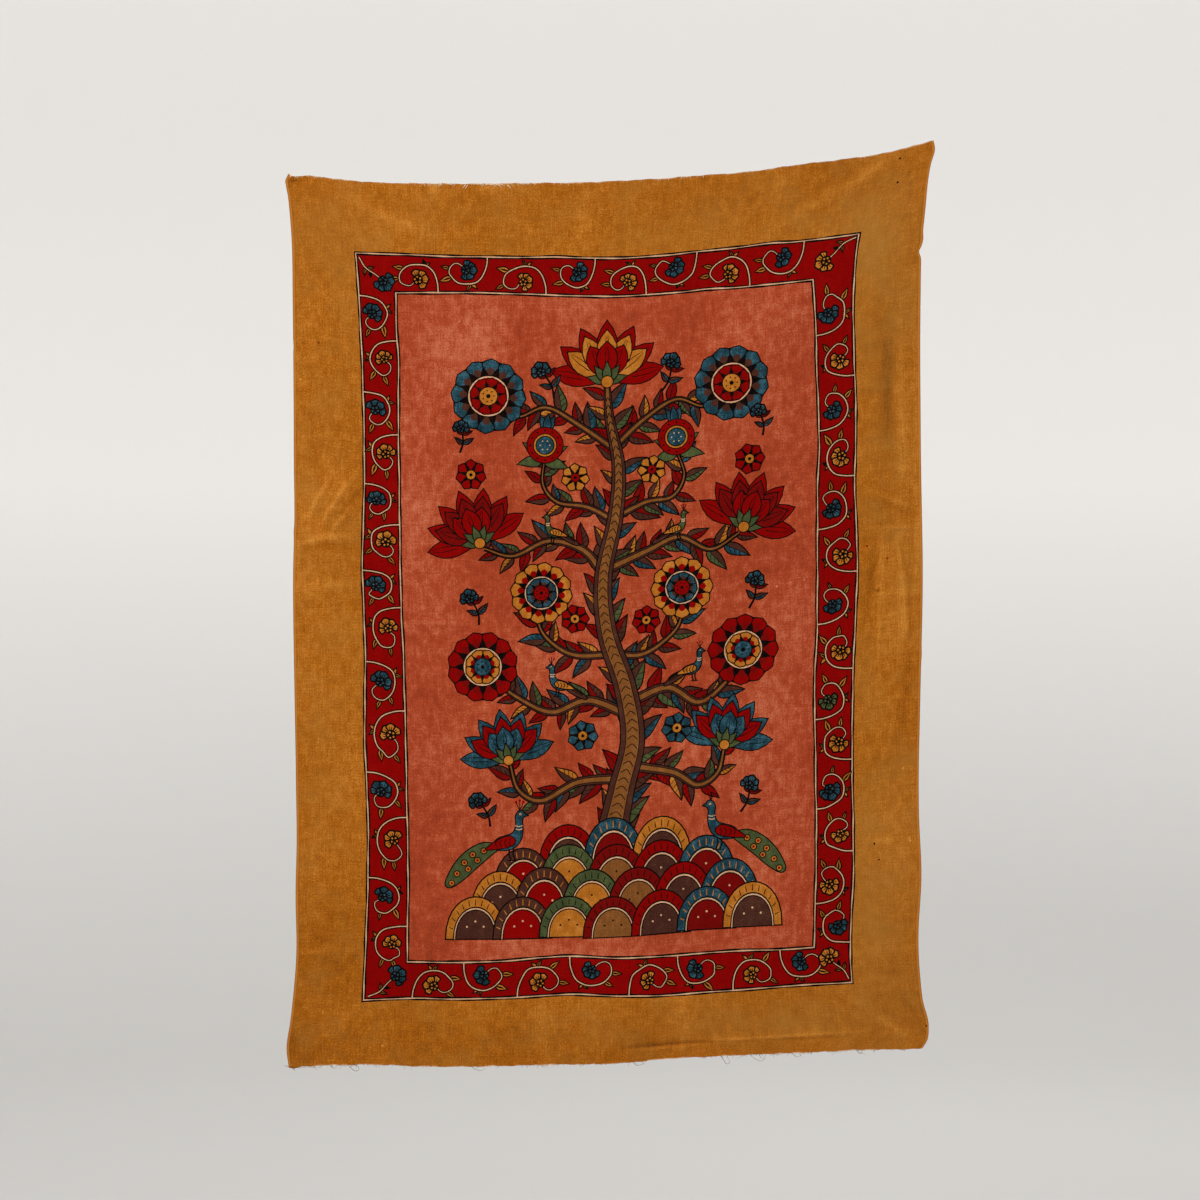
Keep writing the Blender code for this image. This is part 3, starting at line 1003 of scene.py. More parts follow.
# %% Points between the outlines
def triangulated(points, edges):
    made = delaunay_2d_cdt(np.column_stack([points]).tolist(), edges.tolist(), [], 0, NEAR, False)
    return np.array([tuple(p) for p in made[0]]), np.array(made[2])


def rows_across(fold):
    """Points in rows across a narrow fold, close together at its crest."""
    heading = math.radians(fold.heading_deg)
    step = max(0.8 * fold.width, min(6.0, fold.length / 6))
    along = np.arange(-0.55 * fold.length, 0.56 * fold.length, step)
    aside = np.array([-1.7, -1.1, -0.65, -0.3, 0, 0.3, 0.65, 1.1, 1.7]) * fold.width
    a, b = (grid.ravel() for grid in np.meshgrid(along, aside))
    return np.stack([
        fold.across + a * math.cos(heading) - b * math.sin(heading),
        fold.down + a * math.sin(heading) + b * math.cos(heading),
    ], 1)


def clear_of(points, taken, gap):
    """The points that are inside the cloth and about gap or more away from all that are taken."""
    far_corner = (CLOTH_WIDTH - CLEAR_OF_RIM, CLOTH_HEIGHT - CLEAR_OF_RIM)
    points = points[((points > CLEAR_OF_RIM) & (points < far_corner)).all(1)]
    full = np.zeros((int(CLOTH_WIDTH / gap) + 3, int(CLOTH_HEIGHT / gap) + 3), bool)
    i, j = (taken / gap).astype(int).T + 1
    for di in (-1, 0, 1):
        for dj in (-1, 0, 1):
            full[i + di, j + dj] = True
    i, j = (points / gap).astype(int).T + 1
    return points[~full[i, j]]


# %% [markdown]
# Now the two passes are put together. The rim comes first in the list of points, so that the front
# and the back have the same points along it.

# %% The drawing as triangles
def dyed_regions(outlines, spacing, narrow_folds=(), marks=()):
    """The flat cloth as points, triangles and the number of each triangle's dye. marks are the points
    of small marks that are no outline."""
    rim = rim_points()
    start = np.cumsum([len(rim)] + [len(outline) for dye, outline in outlines])
    loops = [loop_edges(a, b - a) for a, b in zip(start, start[1:])]
    edges = np.concatenate([loop_edges(0, len(rim))] + loops)
    points, corners = triangulated(np.concatenate([rim] + [outline for dye, outline in outlines]), edges)
    dyes = dyes_at(points[corners].mean(1), outlines)

    sides = np.sort(corners[:, [[0, 1], [1, 2], [2, 0]]].reshape(-1, 2), axis=1)
    owner = np.repeat(np.arange(len(corners)), 3)
    order = np.lexsort((sides[:, 1], sides[:, 0]))
    sides, owner = sides[order], owner[order]
    shared = np.flatnonzero((sides[1:] == sides[:-1]).all(1))
    parting = sides[shared[dyes[owner[shared]] != dyes[owner[shared + 1]]]]
    kept, edges = np.unique(parting, return_inverse=True)
    fixed = np.concatenate([rim, points[kept]])

    columns, rows = np.meshgrid(np.arange(0, CLOTH_WIDTH, spacing), np.arange(0, CLOTH_HEIGHT, spacing))
    grid = np.stack([columns.ravel(), rows.ravel()], 1)
    extra = np.concatenate([fixed, clear_of(np.reshape(marks, (-1, 2)), fixed, CLEAR_OF_MARKS)])
    for fold in narrow_folds:
        extra = np.concatenate([extra, clear_of(rows_across(fold), extra, 0.25 * fold.width)])
    extra = np.concatenate([extra, clear_of(grid, extra, 0.7 * spacing)])[len(fixed):]
    edges = np.concatenate([loop_edges(0, len(rim)), edges.reshape(-1, 2) + len(rim)])
    points, corners = triangulated(np.concatenate([fixed, extra]), edges)
    return points, corners, dyes_at(points[corners].mean(1), outlines)

# %% [markdown]
# Hung cloth has folds at two sizes. The main ones came with the frame. The small ones are creases from
# folding and washing, a crumple where someone held the cloth, and the slow ripple of a sheet that was never
# ironed. Each crease is given as a soft ridge or trough, in its own size. A cloth simulation was left aside,
# because it would settle to folds of its own and not to these.

# %% The creases
CREASES = [
    # the crumple by the left edge
    Fold(72, 588, 124, 112, 6.0, 2.5),
    Fold(90, 610, 124, 84, 5.0, 2.0),
    Fold(46, 576, 119, 88, 5.5, 1.9),
    Fold(58, 604, 121, 70, 5.0, -1.7),
    Fold(104, 586, 127, 66, 5.0, -1.5),
    Fold(30, 622, 104, 60, 6.0, 1.0),
    Fold(58, 652, -9, 104, 6.0, 1.7),
    Fold(66, 665, -6, 96, 7.0, -0.8),
    Fold(64, 736, -3, 124, 9.0, 1.1),
    Fold(40, 508, 82, 120, 9.0, -0.9),
    # long soft bands down the right margin
    Fold(1074, 430, 90, 230, 13.0, -2.0),
    Fold(1098, 470, 88, 300, 10.0, 1.3),
    Fold(1056, 750, 92, 170, 7.0, 1.3),
    Fold(1036, 770, 94, 120, 7.0, -1.1),
    Fold(1096, 800, 87, 210, 9.0, 1.2),
    Fold(1062, 616, 31, 100, 6.0, 1.0),
    Fold(1084, 640, 26, 84, 6.0, -0.8),
    Fold(1045, 737, 108, 62, 3.6, -1.5),
    Fold(1099, 740, 76, 76, 3.4, -1.3),
    Fold(1108, 826, 88, 120, 3.4, -1.1),
    Fold(1118, 724, 90, 100, 3.2, 1.0),
    Fold(1053, 875, 89, 96, 4.0, 1.1),
    Fold(1082, 675, 8, 78, 3.4, 1.1),
    Fold(1078, 792, 7, 66, 3.4, 1.0),
    Fold(1095, 977, 6, 64, 3.6, 1.0),
    Fold(1100, 1000, 95, 260, 11.0, -1.2),
    Fold(1070, 1228, 2, 70, 5.0, 0.8),
    Fold(1064, 1424, -3, 110, 6.0, 0.9),
    Fold(1058, 1462, 1, 124, 6.5, -0.9),
    # fold lines pressed across the cloth
    Fold(680, 1573, 0, 150, 3.4, -3.0),
    Fold(672, 1578, 0, 120, 3.4, 1.4),
    Fold(850, 1570, -1, 300, 3.2, 1.8),
    Fold(930, 1575, -1, 130, 3.4, -1.2),
    Fold(1118, 1571, -15, 18, 2.6, -1.6),
    Fold(355, 1374, 0, 116, 4.5, 0.9),
    Fold(268, 797, 1, 136, 5.0, 0.8),
    Fold(270, 1188, -1, 100, 5.0, 0.8),
    Fold(56, 1394, -2, 110, 8.0, 1.0),
    # the ends
    Fold(170, 60, 24, 190, 11.0, 1.2),
    Fold(250, 52, 9, 220, 13.0, -0.9),
    Fold(955, 62, -30, 220, 12.0, 1.6),
    Fold(1010, 40, -42, 150, 8.0, 1.2),
    Fold(520, 66, 92, 110, 12.0, 0.9),
    Fold(860, 70, 97, 130, 12.0, 1.0),
    Fold(96, 1520, -40, 150, 9.0, 1.2),
    Fold(450, 1540, 84, 120, 14.0, 1.3),
    Fold(700, 1530, 95, 120, 14.0, 1.4),
    Fold(930, 1546, 100, 90, 10.0, 1.2),
    Fold(1052, 1548, 38, 130, 8.0, 1.4),
    Fold(1096, 1512, 62, 90, 6.5, -1.0),
]


# The pinched tip at the upper left, where the cloth was knotted. These stand out of the flat corner.
TIP_CREASES = [
    Fold(3, 9, 78, 18, 2.6, 2.2),
    Fold(11, 5, 20, 22, 2.4, 1.0),
    Fold(27, 13, 14, 44, 3.2, 0.9),
    Fold(25, 21, 30, 40, 3.2, 0.7),
]
print("creases:", len(CREASES), "and", len(TIP_CREASES), "more in the pinched tip")


# %% [markdown]
# The sheet's middle surface is the sum of all of it: the main folds, the creases, the slow ripple, and
# the pinched tip, which alone rises from a corner that is held flat.

# %% The sheet's relief
RIPPLE_HEIGHT = 0.32
LIES_OFF = 0.5


def ripple(across, down):
    """The slow unevenness of unironed cloth: four plane waves that bend each other."""
    bend = np.sin(down / 61 + 1.3) + np.sin(across / 83)
    return RIPPLE_HEIGHT * (
        np.sin(across / 23 + 0.9 * bend)
        + np.sin((across + down) / 37 + bend)
        + 0.7 * np.sin((across - 0.6 * down) / 17 + 1.7 * bend)
        + 0.8 * np.sin(down / 49 + np.sin(across / 71))
    )


def relief(across, down):
    """How far the middle of the sheet stands off the hanging plane."""
    fine = ripple(across, down) + sum(ridge(crease, across, down) for crease in CREASES)
    tip = sum(ridge(crease, across, down) for crease in TIP_CREASES)
    return stand_off(across, down) + LIES_OFF + tip + held_at_corners(across, down) * fine


WAVER_HEIGHT = 0.45
WAVER_REACH = 12


def waver(across, down):
    """The cut ends aren't quite straight: how far a point by the top or bottom end moves down. It is
    a sum of three waves along the edge, and it dies away 12 mm in."""
    wave = np.sin(across / 9.3) + 0.8 * np.sin(across / 4.1 + 1) + 0.6 * np.sin(across / 27 + 2)
    by_the_ends = np.exp(-down / WAVER_REACH) - np.exp((down - CLOTH_HEIGHT) / WAVER_REACH)
    return WAVER_HEIGHT * wave * by_the_ends


# %% [markdown]
# The edge has small shapes of its own: a tip that is pulled up, a dent, a bulge beside a lower corner.
# Each is a bell that moves the cloth near it a few millimetres, so the painting moves along with it.

# %% From the flat cloth to the hung one
# Columns: across, down, radius across, radius down, moves across, moves down
NUDGES = [
    (0, 0, 6, 6, 4.3, -4.8), (18, 0, 6, 6, 0, 0.4), (56, 0, 14, 14, 0, 0.9), (0, 8, 6, 6, -1.6, 0),
    (1130, 0, 16, 12, 0, -1.6), (1130, 12, 9, 9, 1.0, 0), (895, 0, 70, 25, 0, -1.4),
    (1040, 0, 30, 20, 0, 1.4), (1130, 120, 30, 45, 2.2, 0), (1130, 172, 10, 10, 1.8, 0),
    (1130, 195, 8, 8, -4.2, 0),
    (1130, 500, 30, 300, 1.3, 0), (1130, 905, 10, 10, 0.8, 0), (1130, 1298, 85, 86, 8.2, 0),
    (1130, 1566, 10, 14, -0.5, 0), (980, 1600, 200, 30, 0, 1.1), (110, 1600, 60, 20, 0, 1.0),
    (9, 1600, 8, 8, 0, 2.5), (0, 1294, 85, 84, -5.4, 0), (0, 640, 9, 9, -0.9, 0), (0, 610, 30, 70, 2.0, 0),
    (0, 305, 7, 7, 0.8, 0),
]


def bell(across, down, at, below, wide, tall):
    """e to the power of minus the square of the distance from its middle, counted in its radii."""
    return np.exp(-(((across - at) / wide) ** 2) - ((down - below) / tall) ** 2)


def nudged(across, down):
    """How far points move across and down: the sum of the table's bells."""
    by_across = np.zeros(len(across))
    by_down = np.zeros(len(across))
    for *place, to_right, to_below in NUDGES:
        by_across += to_right * bell(across, down, *place)
        by_down += to_below * bell(across, down, *place)
    return by_across, by_down


def hung(across, down, stands_off):
    """Points of the flat cloth as they hang, in metres, standing off the plane by so many mm towards
    the painted side, which looks along -Y."""
    x, z = hang(across, down)
    by_across, by_down = nudged(across, down)
    return np.stack([x + by_across, -stands_off, z - waver(across, down) - by_down], 1) * MM


def painted_side(across, down):
    return relief(across, down) + THREAD_THICKNESS / 2


BACK_SPACING = 17.0
BACK_DEEPER = 0.7
CLEAR_OF_PLANE = 0.1


def plain_side(across, down):
    """The back of the sheet, whose triangles are larger. It leaves out the narrow ridges, widens the
    narrow troughs and lies a little deeper, so that it stays behind the painted side everywhere. It
    comes back to the true thickness at the edges."""
    troughs = [
        crease._replace(width=max(crease.width, BACK_SPACING)) for crease in CREASES if crease.rise < 0
    ]
    fine = ripple(across, down) + sum(ridge(crease, across, down) for crease in troughs)
    deeper = stand_off(across, down) + LIES_OFF + held_at_corners(across, down) * fine - BACK_DEEPER
    inside = np.minimum(np.minimum(across, CLOTH_WIDTH - across), np.minimum(down, CLOTH_HEIGHT - down))
    middle = between(relief(across, down), deeper, ease(inside / BACK_SPACING))
    return np.maximum(middle - THREAD_THICKNESS / 2, CLEAR_OF_PLANE)


rim_stands = relief(*rim_points().T)
print("the edge stands", rim_stands.min().round(1), "to", rim_stands.max().round(1), "mm off the plane")

# %% [markdown]
# Natural dye is thin, and it soaks through. The back of such a panel shows the same drawing, paler and
# without its fine lines, so the back is triangulated from the larger outlines alone and gets paler
# dyes. Front and back share the points of the rim, and a strip of thread-thin faces joins them there.
#
# Three values go with every point. The flat place is the UV map, so that weave and brush marks follow the
# cloth. The tone is how light the dye is in that part, as the table says: patches of uneven dye, with
# painted highlight and shade on the creases, the selvedges and the pinched tip, and painted shade towards
# the bottom.
# The third is how far the ground has turned olive there.

# %% Slow changes of tone
# Some rows are painted light and shade: (12, 8) is painted shade in the hollow of the pinched tip, (1075,
# 425) is painted shade in a crease's trough, and (1127, 560) and (6, 600) are painted highlight on the
# selvedges' roll. The other rows are partly uneven dye and partly painted light, lighter at mid-height and
# darker towards the bottom.
# Columns: across, down, radius across, radius down, lighter (+) or darker (-)
TONES = [
    (60, 800, 70, 480, 0.06), (40, 1430, 90, 60, -0.05), (300, 1560, 360, 36, -0.09),
    (30, 1560, 70, 60, -0.12), (560, 20, 420, 30, -0.02), (160, 60, 150, 50, 0.06),
    (900, 60, 200, 60, -0.06), (1075, 425, 14, 100, -0.12), (1090, 900, 40, 300, 0.05),
    (1060, 1100, 40, 200, 0.03), (930, 1540, 260, 50, -0.06), (1100, 1500, 50, 80, -0.06),
    (280, 300, 130, 90, 0.08), (880, 260, 90, 60, 0.07), (225, 620, 40, 190, 0.05),
    (910, 480, 60, 190, -0.03), (240, 840, 60, 120, -0.03), (900, 800, 70, 90, 0.05),
    (240, 1040, 50, 130, 0.03), (905, 1130, 50, 190, 0.06), (270, 1290, 70, 90, -0.05),
    (560, 1398, 360, 18, 0.06), (560, 225, 330, 16, 0.05), (905, 1320, 60, 60, -0.04),
    (1127, 560, 9, 300, 0.26), (1062, 470, 15, 190, -0.08), (1090, 640, 12, 380, 0.08),
    (60, 1400, 70, 120, -0.13), (60, 120, 70, 80, -0.04), (12, 8, 9, 3.2, -0.45),
    (6, 600, 8, 280, 0.10), (560, 1590, 700, 12, -0.04), (365, 1, 30, 2.5, 0.40),
    (262, 1, 13, 2.5, 0.30),
]
# Painted highlight and shade on the creases: how much lighter the dye is for each mm that a crease stands
# up, and darker for each mm that one goes in
CREASE_HIGHLIGHT_AND_SHADE = 0.10
# Where the ground turned olive and pale, because iron in the water got at the rind dye.
# Columns: across, down, radius across, radius down, share
OLIVES = [
    (1040, 150, 90, 130, 0.40), (1075, 420, 45, 260, 0.20), (1060, 1330, 70, 230, 0.30),
    (880, 1545, 240, 45, 0.25), (80, 110, 70, 70, 0.25), (760, 60, 130, 40, 0.12),
]
# Small marks: stains and faded specks, and a painted highlight at (2, 15) on the curled edge of the pinched
# tip. Columns: across, down, radius, lighter or darker
SPOTS = [
    (1093, 48, 5.0, -0.22), (1097, 68, 5.0, -0.2), (1050, 782, 4.5, -0.3), (57, 1504, 2.2, 0.4),
    (169, 1565, 2.2, 0.45), (815, 766, 2.0, 0.45), (840, 761, 1.8, 0.4), (868, 757, 2.2, 0.5),
    (893, 752, 1.8, 0.4), (917, 748, 1.9, 0.35), (1101, 1103, 2.2, 0.6), (1112, 1232, 2.4, 0.6),
    (1111, 1227, 2.0, 0.5), (13, 365, 2.4, 0.5), (41, 1018, 2.0, 0.35), (42, 1012, 1.8, 0.3),
    (18, 300, 3.0, -0.3), (46, 300, 3.0, -0.3), (2, 15, 1.9, 0.6), (300, 250, 2.0, 0.35),
    (262, 640, 1.8, 0.3), (905, 980, 2.0, 0.3), (240, 1180, 2.2, -0.3),
]


def tone(across, down):
    """The sum of the soft blots in the table: each is a bell as wide and as tall as its row says."""
    total = np.zeros(len(across))
    for *place, lighter in TONES:
        total += lighter * bell(across, down, *place)
    for at, below, radius, lighter in SPOTS:
        total += lighter * np.exp(-(np.hypot(across - at, down - below) / radius) ** 4)
    # painted highlight where a crease stands up, and painted shade where it goes in
    return total + CREASE_HIGHLIGHT_AND_SHADE * sum(ridge(crease, across, down) for crease in CREASES)


def olive(across, down):
    """How far the ground has turned olive: the sum of that table's bells."""
    total = np.zeros(len(across))
    for *place, share in OLIVES:
        total += share * bell(across, down, *place)
    return total


def points_round_spots():
    """Two rings of points round each spot and one in its middle, so that its tone has points to sit on."""
    rings = [
        ring((at, below), radius * far, 8) for at, below, radius, lighter in SPOTS for far in (0.6, 1.35)
    ]
    return np.concatenate(rings + [np.array(SPOTS)[:, :2]])


def points_at_tip():
    """A close grid in the upper left corner, for the creases there."""
    across, down = np.meshgrid(np.arange(2.5, 46, 3.2), np.arange(2.5, 34, 3.2))
    return np.stack([across.ravel(), down.ravel()], 1)


# %% The sheet
# The smallest outlines that show on the back, by their size across or down, and those of ink
SOAKS_OVER = 16.0
INK_SOAKS_OVER = 70.0

marks = np.concatenate([points_at_tip(), points_round_spots()])
front_points, front_corners, front_dyes = dyed_regions(painting, GRID_SPACING, CREASES, marks)
soaking = [
    (dye, outline[::2] if len(outline) > 13 else outline)
    for dye, outline in painting
    if np.ptp(outline, axis=0).max() > (INK_SOAKS_OVER if dye == "ink" else SOAKS_OVER)
]
back_points, back_corners, back_dyes = dyed_regions(soaking, BACK_SPACING)


def rim_order(points):
    """The numbers of the points on the cloth's edge, in order round it."""
    across, down = points.T
    from_edge = np.minimum(np.minimum(across, CLOTH_WIDTH - across), np.minimum(down, CLOTH_HEIGHT - down))
    edge = np.flatnonzero(from_edge < 0.01)
    round_it = np.arctan2(down[edge] - CLOTH_HEIGHT / 2, across[edge] - CLOTH_WIDTH / 2)
    return edge[np.argsort(round_it)]


def wound(corners, points, clockwise):
    """Triangles with their corners listed one way round on the flat cloth."""
    a, b, c = points[corners].transpose(1, 0, 2)
    area = (b[:, 0] - a[:, 0]) * (c[:, 1] - a[:, 1]) - (b[:, 1] - a[:, 1]) * (c[:, 0] - a[:, 0])
    turn = (area > 0) != clockwise
    corners = corners.copy()
    corners[turn] = corners[turn][:, ::-1]
    return corners


front_rim = rim_order(front_points)
back_rim = rim_order(back_points) + len(front_points)
after_front = np.roll(front_rim, -1)
after_back = np.roll(back_rim, -1)
rim_corners = np.concatenate([
    np.stack([front_rim, back_rim, after_front], 1),
    np.stack([after_front, back_rim, after_back], 1),
])
corners = np.concatenate([
    wound(front_corners, front_points, clockwise=False),
    wound(back_corners, back_points, clockwise=True) + len(front_points),
    rim_corners,
])
places = np.concatenate([
    hung(*front_points.T, painted_side(*front_points.T)),
    hung(*back_points.T, plain_side(*back_points.T)),
])
flat_places = np.concatenate([front_points, back_points])
finish_numbers = np.concatenate([front_dyes, back_dyes + len(DYES), np.zeros(len(rim_corners), int)])


# %% [markdown]
# The arrays become a mesh in one go. Its normals are smooth over the folds and sharp at the rim, and
# each triangle has the number of its dye's finish.

# %% The mesh
def mesh_from(name, places, corners):
    """A mesh of triangles, put in as whole arrays."""
    mesh = bpy.data.meshes.new(name)
    mesh.vertices.add(len(places))
    mesh.vertices.foreach_set("co", places.astype(np.float32).ravel())
    mesh.loops.add(corners.size)
    mesh.loops.foreach_set("vertex_index", corners.astype(np.int32).ravel())
    mesh.polygons.add(len(corners))
    mesh.polygons.foreach_set("loop_start", np.arange(0, corners.size, 3, dtype=np.int32))
    mesh.update(calc_edges=True)
    mesh.validate()
    return mesh


cloth_mesh = mesh_from("painted_cotton_sheet", places, corners)
cloth_mesh.shade_smooth()
cloth_mesh.set_sharp_from_angle(angle=math.radians(60))
cloth_mesh.polygons.foreach_set("material_index", finish_numbers.astype(np.int32))
flat_map = cloth_mesh.uv_layers.new(name="flat_cloth")
flat_map.data.foreach_set("uv", (flat_places[corners.ravel()] * MM).astype(np.float32).ravel())
for name, values in (("tone", tone(*flat_places.T)), ("olive", olive(*flat_places.T))):
    layer = cloth_mesh.attributes.new(name, "FLOAT", "POINT")
    layer.data.foreach_set("value", values.astype(np.float32))
cloth = bpy.data.objects.new("painted_cotton_sheet", cloth_mesh)
bpy.context.scene.collection.objects.link(cloth)
print("triangles of the sheet:", len(corners), "in front:", len(front_corners), "behind:", len(back_corners))

# %% [markdown]
# Each dye is its own finish on the same cotton. What they share is how hand work leaves them uneven:
# a slow change over a hand's breadth where the brush was loaded again, blotches of a centimetre or two
# where the wash water lay, streaks along the threads where a thick thread took up more dye, and a fine
# grain. Each is a noise at that size in millimetres of flat cloth, and their sum picks a colour between
# the dye's dark, middle and light. Cotton has no gloss, so its specular level is close to none.
#
# The threads of the cloth are about half a millimetre apart. That is finer than a render of the whole
# panel can show, so the weave is drawn eight times as coarse, and shallow.

# %% Cotton, and two helpers
WEAVE_PITCH = 4.2
WEAVE_HEIGHT = 0.05
COTTON_ROUGHNESS = 0.92
COTTON_SPECULAR = 0.04
COTTON_IOR = 1.53


def linear(hex_colour):
    """An sRGB hex colour as linear red, green, blue and alpha: a twelfth of it where it is dark, and
    else ((c + 0.055) / 1.055) to the power 2.4."""
    parts = [int(hex_colour[i : i + 2], 16) / 255 for i in (1, 3, 5)]
    return (*[c / 12.92 if c <= 0.04045 else ((c + 0.055) / 1.055) ** 2.4 for c in parts], 1.0)


def node(tree, kind, inputs=(), **settings):
    """Adds a node with its settings. inputs pairs a socket's name or number with a value or with
    another node's output."""
    made = tree.nodes.new(kind)
    for name, value in settings.items():
        setattr(made, name, value)
    for socket, value in dict(inputs).items():
        if isinstance(value, bpy.types.NodeSocket):
            tree.links.new(value, made.inputs[socket])
        else:
            made.inputs[socket].default_value = value
    return made


# %% [markdown]
# The ground alone reaches the edges of the cloth, so it alone shows the wear there, and the painted
# highlight and shade of the rolled selvedges. Each is a share, from 0 to 1, by which the ground's colour
# goes over to another colour.

# %% The worn ground, with the selvedges' painted highlight and shade
# How the ground has worn, and where light and shade are painted on it. Along the selvedges, whose threads
# are doubled and rolled, it has painted shade inside the roll, a painted highlight on the roll, and painted
# shade at the very edge. At the cut ends the dye has rubbed off the loosened threads.
# Columns: axis, length, full up to and none past so far from an edge (mm), share, shade
SELVEDGE_HIGHLIGHT_AND_SHADE = [
    ("X", CLOTH_WIDTH, 5.0, 7.0, 0.30, "#6b3a0a"),
    ("X", CLOTH_WIDTH, 3.6, 5.0, 0.50, "#c98238"),
    ("X", CLOTH_WIDTH, 0.7, 1.6, 0.60, "#7a4a18"),
]
END_WEAR = ("Y", CLOTH_HEIGHT, 0.9, 2.4, 0.85, "#d9b48c")
OLIVE_SHADE = "#a0702f"


def near_edges(tree, along, length, start, end, share):
    """A share at two opposite edges of the cloth that falls to 0 between start and end, in mm from an
    edge. It is the distance from the cloth's middle line, brought to that range."""
    middle = length / 2
    centred = node(tree, "ShaderNodeMath", {0: along, 1: middle * MM}, operation="SUBTRACT").outputs[0]
    away = node(tree, "ShaderNodeMath", {0: centred}, operation="ABSOLUTE").outputs[0]
    reach = {"From Min": (middle - end) * MM, "From Max": (middle - start) * MM, "To Max": share}
    return node(tree, "ShaderNodeMapRange", {"Value": away, **reach}).outputs[0]


def worn_and_shaded_ground(tree, flat, colour):
    """The ground's colour with the olive of old water marks in slow patches, then the painted highlight and
    shade along the selvedges, and the worn cut ends.
    """
    slow = node(tree, "ShaderNodeTexNoise", {"Vector": flat, "Scale": 14.0, "Detail": 3.0, "Roughness": 0.6})
    patch = node(tree, "ShaderNodeMapRange",
                 {"Value": slow.outputs["Fac"], "From Min": 0.45, "From Max": 0.75, "To Max": 0.35})
    marked = node(tree, "ShaderNodeAttribute", attribute_name="olive").outputs["Fac"]
    share = node(tree, "ShaderNodeMath", {0: patch.outputs[0], 1: marked}, operation="ADD", use_clamp=True)
    layers = [(share.outputs[0], OLIVE_SHADE)]
    apart = node(tree, "ShaderNodeSeparateXYZ", {0: flat}).outputs
    # painted highlight and shade of the selvedges' roll
    for axis, *reach, shade in SELVEDGE_HIGHLIGHT_AND_SHADE:
        layers.append((near_edges(tree, apart[axis], *reach), shade))
    axis, *reach, shade = END_WEAR
    uneven = node(tree, "ShaderNodeTexNoise",
                  {"Vector": flat, "Scale": 17.0, "Detail": 4.0, "Roughness": 0.7})
    rubbed = node(tree, "ShaderNodeMapRange",
                  {"Value": uneven.outputs["Fac"], "From Min": 0.47, "From Max": 0.6})
    ends = node(tree, "ShaderNodeMath", {0: near_edges(tree, apart[axis], *reach), 1: rubbed.outputs[0]},
                operation="MULTIPLY")
    layers.append((ends.outputs[0], shade))
    for share, shade in layers:
        mixed = node(tree, "ShaderNodeMix", {0: share, 6: colour, 7: linear(shade)}, data_type="RGBA")
        colour = mixed.outputs[2]
    return colour


# %% [markdown]
# Five noises, each stretched to a real size on the flat cloth, add up to how light the dye is at a
# point. The mesh's own tone is added, and the sum picks a colour on the dye's ramp.

# %% The dyed finish
# Columns: size across and down of the unevenness (mm), octaves, roughness of the noise, which of a
# dye's four strengths it has, and its share of that
UNEVENNESS = [
    (150, 190, 3, 0.55, 0, 1.0),
    (15, 20, 4, 0.6, 1, 1.0),
    (2.2, 38, 2, 0.5, 2, 1.0),
    (45, 2.4, 2, 0.5, 2, 0.7),
    (2.6, 2.8, 2, 0.6, 3, 1.0),
]
# Each noise is read from another place, so that no two run together
NOISE_APART = np.array([7.3, 3.1, 1.0])


def dye_on_cotton(name, dark, middle, light, uneven, ground=False):
    """Cotton brushed with one dye. uneven is how strongly it varies at four sizes: a hand's breadth,
    a blotch, a thread's streak and the grain. The ground alone reaches the edges and turns olive."""
    finish = bpy.data.materials.new(name)
    finish.use_nodes = True
    tree = finish.node_tree
    shader = tree.nodes["Principled BSDF"]
    flat = node(tree, "ShaderNodeUVMap", uv_map="flat_cloth").outputs["UV"]
    tone_here = node(tree, "ShaderNodeAttribute", attribute_name="tone").outputs["Fac"]
    total = node(tree, "ShaderNodeMath", {0: tone_here, 1: 0.5}, operation="ADD").outputs[0]
    for k, (wide, tall, octaves, rough, which, share) in enumerate(UNEVENNESS):
        shift = tuple(NOISE_APART * k)
        stretched = node(tree, "ShaderNodeMapping",
                         {"Vector": flat, "Scale": (1000 / wide, 1000 / tall, 1), "Location": shift})
        noise = node(tree, "ShaderNodeTexNoise",
                     {"Vector": stretched.outputs[0], "Scale": 1.0, "Detail": octaves, "Roughness": rough})
        centred = node(tree, "ShaderNodeMath", {0: noise.outputs["Fac"], 1: 0.5}, operation="SUBTRACT")
        total = node(tree, "ShaderNodeMath", {0: centred.outputs[0], 1: share * uneven[which], 2: total},
                     operation="MULTIPLY_ADD").outputs[0]
    grain = noise
    ramp = node(tree, "ShaderNodeValToRGB", {"Fac": total})
    ramp.color_ramp.elements[0].color = linear(dark)
    ramp.color_ramp.elements[1].color = linear(light)
    ramp.color_ramp.elements.new(0.5).color = linear(middle)
    colour = ramp.outputs["Color"]
    if ground:
        colour = worn_and_shaded_ground(tree, flat, colour)

    # a wave node of scale 1 has a band every 20 / (2 pi)
    bands = 2 * math.pi / 20 / (WEAVE_PITCH * MM)
    weave = 0
    for direction in ("X", "Y"):
        wave = node(tree, "ShaderNodeTexWave",
                    {"Vector": flat, "Scale": bands, "Distortion": 1.2, "Detail": 2.0},
                    bands_direction=direction)
        weave = node(tree, "ShaderNodeMath", {0: wave.outputs["Fac"], 1: weave}, operation="ADD").outputs[0]
    threads = node(tree, "ShaderNodeMath", {0: grain.outputs["Fac"], 1: 2.0, 2: weave},
                   operation="MULTIPLY_ADD")
    bump = node(tree, "ShaderNodeBump",
                {"Height": threads.outputs[0], "Strength": 1.0, "Distance": WEAVE_HEIGHT * MM})
    tree.links.new(colour, shader.inputs["Base Color"])
    tree.links.new(bump.outputs["Normal"], shader.inputs["Normal"])
    shader.inputs["Roughness"].default_value = COTTON_ROUGHNESS
    shader.inputs["Specular IOR Level"].default_value = COTTON_SPECULAR
    shader.inputs["IOR"].default_value = COTTON_IOR
    return finish


